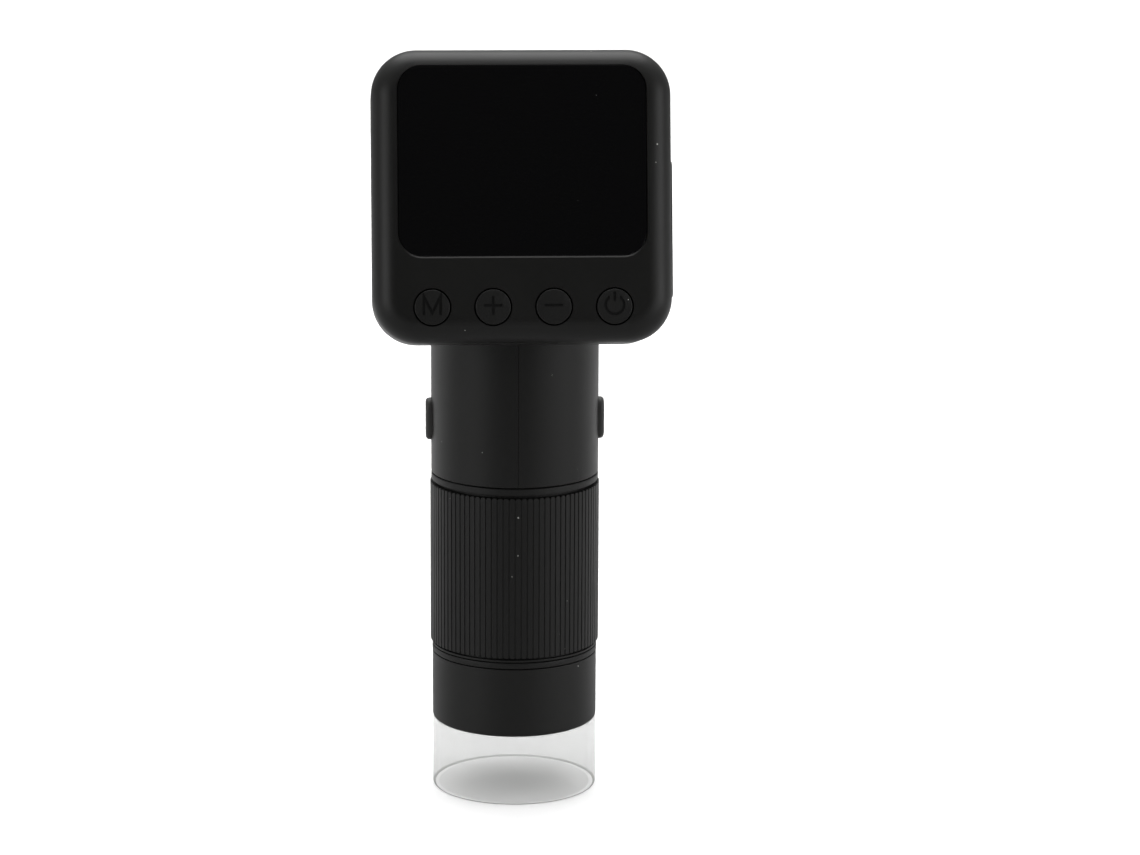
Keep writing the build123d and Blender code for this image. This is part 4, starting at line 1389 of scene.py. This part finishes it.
    def build(self, wardrobe: Wardrobe) -> None:
        """Build both halves and both keys, and dress them.

        Args:
            wardrobe: Where the finishes come from.
        """
        for side, shell_node, key_node in (
            (Side.LEFT, "upper_barrel_left", "left_key"),
            (Side.RIGHT, "upper_barrel_right", "right_key"),
        ):
            word = side.name.lower()
            shell = Role(f"barrel_half_{word}", "body", "shell_black", (shell_node,))
            finished(self.half(side, key_node, shell_node), shell, wardrobe)
            key = Role(f"side_key_{word}", key_node, "key_black", (key_node,))
            finished(self.key(side, key_node), key, wardrobe)


# ---------------------------------------------------------------- head


@dataclass
class Head:
    """The tilted head: two shells, the dark window, the buttons and the ports' panel."""

    thickness: float = 21.5 * MM
    corner: float = 8.6 * MM
    wall: float = 2.0 * MM
    face_wall: float = 2.4 * MM
    front_round: float = 4.9 * MM
    back_round: float = 3.8 * MM
    parting: float = 9.0 * MM
    seam: float = 0.1 * MM
    window_width: float = 47.1 * MM
    window_height: float = 36.2 * MM
    window_corner: float = 4.6 * MM
    window_ledge: float = 2.6 * MM
    window_seat: float = 1.6 * MM
    opening_corner: float = 1.0 * MM
    window_sunk: float = 0.35 * MM
    window_thickness: float = 1.2 * MM
    window_fit: float = 0.05 * MM
    window_round: float = 0.15 * MM
    lip_depth: float = 0.34 * MM
    lip_flare: float = 0.15 * MM
    button_r: float = 3.32 * MM
    button_gap: float = 0.3 * MM
    button_lip: float = 0.06 * MM
    flange_gap: float = 0.15 * MM
    recess: float = 1.6 * MM
    screw_inset: float = 4.2 * MM
    boss_r: float = 1.9 * MM
    shank_r: float = 0.78 * MM
    panel_corner: float = 1.2 * MM
    panel_fit: float = 0.05 * MM
    hole_steps: int = 72
    buttons: tuple[str, ...] = ("button_mode", "button_plus", "button_minus", "button_power")

    def __post_init__(self) -> None:
        """Find the head's own axes: across, up its face, and out of its face."""
        self.out = head_direction()
        self.across = Vector((1, 0, 0))
        self.up = self.out.cross(self.across)
        low, high = reach("head_front_shell", self.up)
        front = reach("head_front_shell", self.out)[1]
        left, right = reach("head_front_shell", self.across)
        self.width = right - left
        self.height = high - low
        turn = Matrix((self.across, self.up, self.out)).transposed().to_4x4()
        self.seat = Matrix.Translation(self.up * (low + high) / 2 + self.out * front) @ turn
        self.window_middle = self.middle_of("screen_window")
        self.spots = [self.middle_of(node) for node in self.buttons]
        ends = (self.width / 2 - self.screw_inset, self.height / 2 - self.screw_inset)
        self.screw_spots = [(x * ends[0], y * ends[1]) for x in (-1, 1) for y in (-1, 1)]

    def middle_of(self, node: str) -> Point2:
        """Find the middle of a node, seen from the front, in the head's own axes.

        Args:
            node: The node's name.

        Returns:
            The middle, across and up.
        """
        ends = [reach(node, direction) for direction in (self.across, self.up)]
        origin = self.seat.translation
        return (
            sum(ends[0]) / 2 - origin.dot(self.across),
            sum(ends[1]) / 2 - origin.dot(self.up),
        )

    def outer_form(self) -> BMesh:
        """Build the head's outer form.

        Returns:
            The closed form, in the head's own axes.
        """
        return Slab(
            self.width, self.height, self.corner, -self.thickness, 0,
            self.back_round, self.front_round, corner_steps=24, edge_steps=14,
        ).mesh()

    def inner_form(self) -> BMesh:
        """Build the space inside the head.

        Returns:
            The closed form, in the head's own axes.
        """
        wall, face_wall = self.wall, self.face_wall
        return Slab(
            self.width - 2 * wall, self.height - 2 * wall, self.corner - wall,
            wall - self.thickness, -face_wall,
            self.back_round - wall, self.front_round - face_wall, corner_steps=16, edge_steps=5,
        ).mesh()

    def holes(self, radius: float, low: float, high: float, spots: Sequence[Point2]) -> BMesh:
        """Build equal rods at several spots, between two heights."""
        return gathered(rod(radius, low, high, spot, self.hole_steps) for spot in spots)

    def port_opening(self) -> BMesh:
        """Build the form of the port panel's opening, in the row's frame.

        Returns:
            The form to cut.
        """
        ups, outs = reach("port_panel", self.up), reach("port_panel", self.out)
        fit = self.panel_fit
        hole = Slab(
            ups[1] - ups[0] + 2 * fit,
            outs[1] - outs[0] + 2 * fit,
            self.panel_corner + fit,
            self.width / 2 - self.wall - SPARE,
            self.width / 2 + SPARE,
            corner_steps=8,
            middle=(sum(ups) / 2, sum(outs) / 2),
        )
        return moved(hole.mesh(), Matrix((self.up, self.out, self.across)).transposed().to_4x4())

    def beyond(self, low: float, high: float) -> BMesh:
        """Build a plain block larger than the head, between two heights."""
        return Slab(2 * self.width, 2 * self.height, self.wall, low, high, corner_steps=1).mesh()

    def window_seat_form(self) -> BMesh:
        """Build the form of the window's seat, whose mouth flares out, most of all at its foot.

        Returns:
            The closed form, in the head's own axes.
        """
        bm = Slab(
            self.window_width, self.window_height, self.window_corner,
            -self.window_seat, -self.lip_depth, corner_steps=16, middle=self.window_middle,
        ).mesh()
        mouth = max(bm.faces, key=lambda face: face.calc_center_median().z)
        bmesh.ops.inset_region(
            bm, faces=[mouth], thickness=-self.lip_flare, depth=0, use_even_offset=True
        )
        bmesh.ops.translate(bm, vec=(0, -self.lip_flare, self.lip_depth), verts=mouth.verts[:])
        top = bmesh.ops.extrude_face_region(bm, geom=[mouth])["geom"]
        raised = [item for item in top if isinstance(item, bmesh.types.BMVert)]
        bmesh.ops.translate(bm, vec=(0, 0, SPARE), verts=raised)
        bmesh.ops.delete(bm, geom=[mouth], context="FACES_ONLY")
        bmesh.ops.recalc_face_normals(bm, faces=bm.faces[:])
        return bm

    def on_button_edge(self, place: Vector) -> bool:
        """Say whether a place in the head's own axes lies on the edge of a button's hole.

        Args:
            place: The place.

        Returns:
            Whether it does.
        """
        hole = self.button_r + self.button_gap
        near = min(abs(math.dist(place.to_2d(), spot) - hole) for spot in self.spots)
        return near < NEAR and abs(place.z) < NEAR

    def front_cuts(self) -> list[BMesh]:
        """Build what is cut out of the front shell besides its hollow.

        Returns:
            The closed forms in their order, in the head's own axes.
        """
        opening = Slab(
            self.window_width - 2 * self.window_ledge,
            self.window_height - 2 * self.window_ledge,
            self.opening_corner, -2 * self.face_wall, SPARE,
            corner_steps=6, middle=self.window_middle,
        )
        flange = reach("button_mode", self.across)
        flange_r = (flange[1] - flange[0]) / 2 + self.flange_gap
        floor = self.flange_gap - self.face_wall
        tip = reach("head_screws", self.out)[1] - self.seat.translation.dot(self.out)
        return [
            self.beyond(-2 * self.thickness, self.seam / 2 - self.parting),
            self.window_seat_form(),
            opening.mesh(),
            self.holes(self.button_r + self.button_gap, -2 * self.face_wall, SPARE, self.spots),
            self.holes(flange_r, floor - self.recess, floor, self.spots),
            self.holes(self.shank_r, -self.thickness, tip + self.flange_gap, self.screw_spots),
        ]

    def front_shell(self) -> BMesh:
        """Build the front shell, with the window's seat and the buttons' holes.

        Returns:
            The closed shell, in the row's frame.
        """
        bosses = self.holes(self.boss_r, -self.thickness - SPARE, SPARE, self.screw_spots)
        hollow = combined(self.inner_form(), bosses, Join.CUT)
        bm = self.outer_form()
        for cutter in (hollow, *self.front_cuts()):
            bm = combined(bm, cutter, Join.CUT)
        rounded(bm, edges_where(bm, self.on_button_edge), self.button_lip, 2)
        return combined(moved(bm, self.seat), self.port_opening(), Join.CUT)

    def window(self) -> BMesh:
        """Build the dark window.

        Returns:
            The closed plate, in the row's frame.
        """
        plate = Slab(
            self.window_width - 2 * self.window_fit,
            self.window_height - 2 * self.window_fit,
            self.window_corner - self.window_fit,
            -self.window_sunk - self.window_thickness,
            -self.window_sunk,
            high_round=self.window_round,
            corner_steps=16,
            edge_steps=3,
            middle=self.window_middle,
        )
        return moved(plate.mesh(), self.seat)

    def build(self, wardrobe: Wardrobe) -> None:
        """Build the head's pieces and dress them.

        Args:
            wardrobe: Where the finishes come from.
        """
        back = merged_copy("head_rear_shell")
        for bm, name, body, slot, node in (
            (self.front_shell(), "head_front", "body", "shell_black", "head_front_shell"),
            (back, "head_back", "body", "shell_black", "head_rear_shell"),
            (self.window(), "window_plate", "body", "window_dark", "screen_window"),
            *(
                (merged_copy(node), f"{node}_cap", node, "button_black", node)
                for node in self.buttons
            ),
            (merged_copy("port_panel"), "ports_panel", "body", "panel_black", "port_panel"),
        ):
            finished(bm, Role(name, body, slot, (node,)), wardrobe)


# ---------------------------------------------------------------- studio


@dataclass(frozen=True)
class Softbox:
    """A square soft light that faces the object."""

    name: str
    azimuth: float
    elevation: float
    distance: float
    size: float
    power: float
    mirrored: bool = True

    def hang(self, target: Vector) -> None:
        """Hang the light.

        Args:
            target: The place that it faces.
        """
        turn, rise = math.radians(self.azimuth), math.radians(self.elevation)
        away = Vector((
            math.sin(turn) * math.cos(rise), -math.cos(turn) * math.cos(rise), math.sin(rise)
        ))
        light = bpy.data.lights.new(self.name, "AREA")
        light.shape = "SQUARE"
        light.size = self.size
        light.energy = self.power
        lamp = bpy.data.objects.new(self.name, light)
        lamp.location = target + away * self.distance
        lamp.rotation_mode = "QUATERNION"
        lamp.rotation_quaternion = (-away).to_track_quat("-Z", "Y")
        lamp.visible_camera = False
        lamp.visible_glossy = self.mirrored
        bpy.context.scene.collection.objects.link(lamp)


@dataclass
class Studio:
    """The pale floor, the soft light round the object, and the camera."""

    floor_size: float = 8.0
    floor_bright: Colour = (0.96, 0.96, 0.96)
    floor_tones: tuple[tuple[float, float], ...] = (
        (-0.6, 0.08), (-0.34, 0.18), (-0.25, 0.25), (-0.16, 0.18), (-0.03, 0.25), (0.3, 0.6),
        (0.5, 0.3),
    )
    glows: tuple[tuple[str, Point2, Point2], ...] = (
        ("Y", (-0.75, 0.75), (0.03, 0.32)), ("Z", (0.3, 1.0), (0.0, 0.3)),
    )
    seen_glow: float = 1.0
    aim: Vector = field(default_factory=lambda: Vector((11.05, 0, 73.5)) * MM)
    distance: float = 799.5 * MM
    pitch: float = math.radians(12.76)
    yaw: float = math.radians(3.3)
    roll: float = math.radians(0.285)
    sensor: float = 36.0
    focal_share: float = 4000 / 1140
    near: float = 50 * MM
    softboxes: tuple[Softbox, ...] = (
        Softbox("overhead", 180, 70, 0.9, 0.85, 4.9),
        Softbox("left_front", -58, 6, 1.1, 0.62, 1.9),
        Softbox("right_front", 66, 6, 1.1, 0.62, 2.2),
        Softbox("right_low", 38, 4, 1.1, 0.3, 0.4),
        Softbox("high_fill", 0, 88, 2.2, 3.0, 24.0, mirrored=False),
        Softbox("front_fill", 0, 36, 1.8, 1.2, 8.5, mirrored=False),
        Softbox("back_fill", 180, 36, 1.8, 1.2, 8.5, mirrored=False),
        Softbox("left_fill", -90, 36, 1.8, 1.2, 9.5, mirrored=False),
        Softbox("right_fill", 90, 36, 1.8, 1.2, 9.5, mirrored=False),
    )

    def lay_floor(self) -> None:
        """Lay the pale floor, which lights the object less than it shows."""
        bm = bmesh.new()
        bmesh.ops.create_grid(bm, x_segments=1, y_segments=1, size=self.floor_size / 2)
        mesh = bpy.data.meshes.new("floor")
        bm.to_mesh(mesh)
        bm.free()
        floor = bpy.data.objects.new("floor", mesh)
        bpy.context.scene.collection.objects.link(floor)
        mesh.materials.append(self.floor_material())

    def floor_material(self) -> bpy.types.Material:
        """Build the floor's pale paper.

        Returns:
            The material.
        """
        recipe = Recipe.start("pale_floor")
        tree = recipe.tree
        rays = tree.nodes.new("ShaderNodeLightPath").outputs
        seen = maths(tree, "MAXIMUM", rays["Is Camera Ray"], rays["Is Transmission Ray"])
        first, last = self.floor_tones[0][0], self.floor_tones[-1][0]
        past = maths(tree, "SUBTRACT", separated(tree, recipe.place)["Y"], first)
        tones = tree.nodes.new("ShaderNodeValToRGB")
        tree.links.new(maths(tree, "MULTIPLY", past, 1 / (last - first)), tones.inputs["Fac"])
        while len(tones.color_ramp.elements) < len(self.floor_tones):
            tones.color_ramp.elements.new(0.5)
        for element, (place, tone) in zip(tones.color_ramp.elements, self.floor_tones):
            element.position = (place - first) / (last - first)
            element.color = (tone, tone, tone, 1)
        recipe.feed("Base Color", recipe.mixed(seen, tones.outputs["Color"], self.floor_bright))
        recipe.fix(Roughness=0.9, Specular_IOR_Level=0.0)
        return recipe.material

    def glow(self) -> None:
        """Set the light that comes from all round: bright behind and above, dim in front.

        Each glow is an axis, where along it the light changes, and from what to what.
        """
        world = bpy.data.worlds.new("studio")
        bpy.context.scene.world = world
        world.use_nodes = True
        tree = world.node_tree
        parts = separated(tree, tree.nodes.new("ShaderNodeTexCoord").outputs["Generated"])
        lit = 0.0
        for axis, span, strengths in self.glows:
            glow = tree.nodes.new("ShaderNodeMapRange")
            glow.interpolation_type = "SMOOTHSTEP"
            numbers = zip(("From Min", "From Max", "To Min", "To Max"), (*span, *strengths))
            for name, number in (*numbers, ("Value", parts[axis])):
                feed(tree, number, glow.inputs[name])
            lit = maths(tree, "ADD", lit, glow.outputs["Result"])
        rays = tree.nodes.new("ShaderNodeLightPath")
        seen = maths(tree, "MULTIPLY", rays.outputs["Is Camera Ray"], self.seen_glow)
        unseen = maths(tree, "SUBTRACT", 1.0, rays.outputs["Is Camera Ray"])
        strength = maths(tree, "ADD", maths(tree, "MULTIPLY", lit, unseen), seen)
        background = tree.nodes["Background"]
        background.inputs["Color"].default_value = (1, 1, 1, 1)
        tree.links.new(strength, background.inputs["Strength"])

    def place_camera(self) -> None:
        """Place the camera and make it the scene's."""
        back = Vector((
            -math.sin(self.yaw) * math.cos(self.pitch),
            -math.cos(self.yaw) * math.cos(self.pitch),
            math.sin(self.pitch),
        ))
        right = Vector((math.cos(self.yaw), -math.sin(self.yaw), 0))
        up = back.cross(right)
        turned_right = right * math.cos(self.roll) + up * math.sin(self.roll)
        turned_up = back.cross(turned_right)
        lens = bpy.data.cameras.new("camera")
        lens.sensor_fit = "HORIZONTAL"
        lens.sensor_width = self.sensor
        lens.lens = self.sensor * self.focal_share
        lens.clip_start = self.near
        camera = bpy.data.objects.new("camera", lens)
        axes = Matrix((turned_right, turned_up, back)).transposed().to_4x4()
        camera.matrix_world = Matrix.Translation(self.aim + back * self.distance) @ axes
        bpy.context.scene.collection.objects.link(camera)
        bpy.context.scene.camera = camera

    def build(self) -> None:
        """Set up the whole studio."""
        self.lay_floor()
        self.glow()
        for softbox in self.softboxes:
            softbox.hang(self.aim)
        self.place_camera()
        view = bpy.context.scene.view_settings
        view.view_transform = "Standard"
        view.look = "None"


# ---------------------------------------------------------------- the whole


def main() -> None:
    """Dress the solids, build the visible pieces and set up the studio."""
    logging.basicConfig(level=logging.INFO, format="%(name)s: %(message)s")
    wardrobe = Wardrobe()
    wardrobe.dress_solids()
    for assembly in (Hood(), LowerBarrel(), FocusRing(), UpperBarrel(), Head()):
        LOG.info("building the %s", type(assembly).__name__)
        assembly.build(wardrobe)
    Studio().build()


if __name__ == "__main__":
    main()
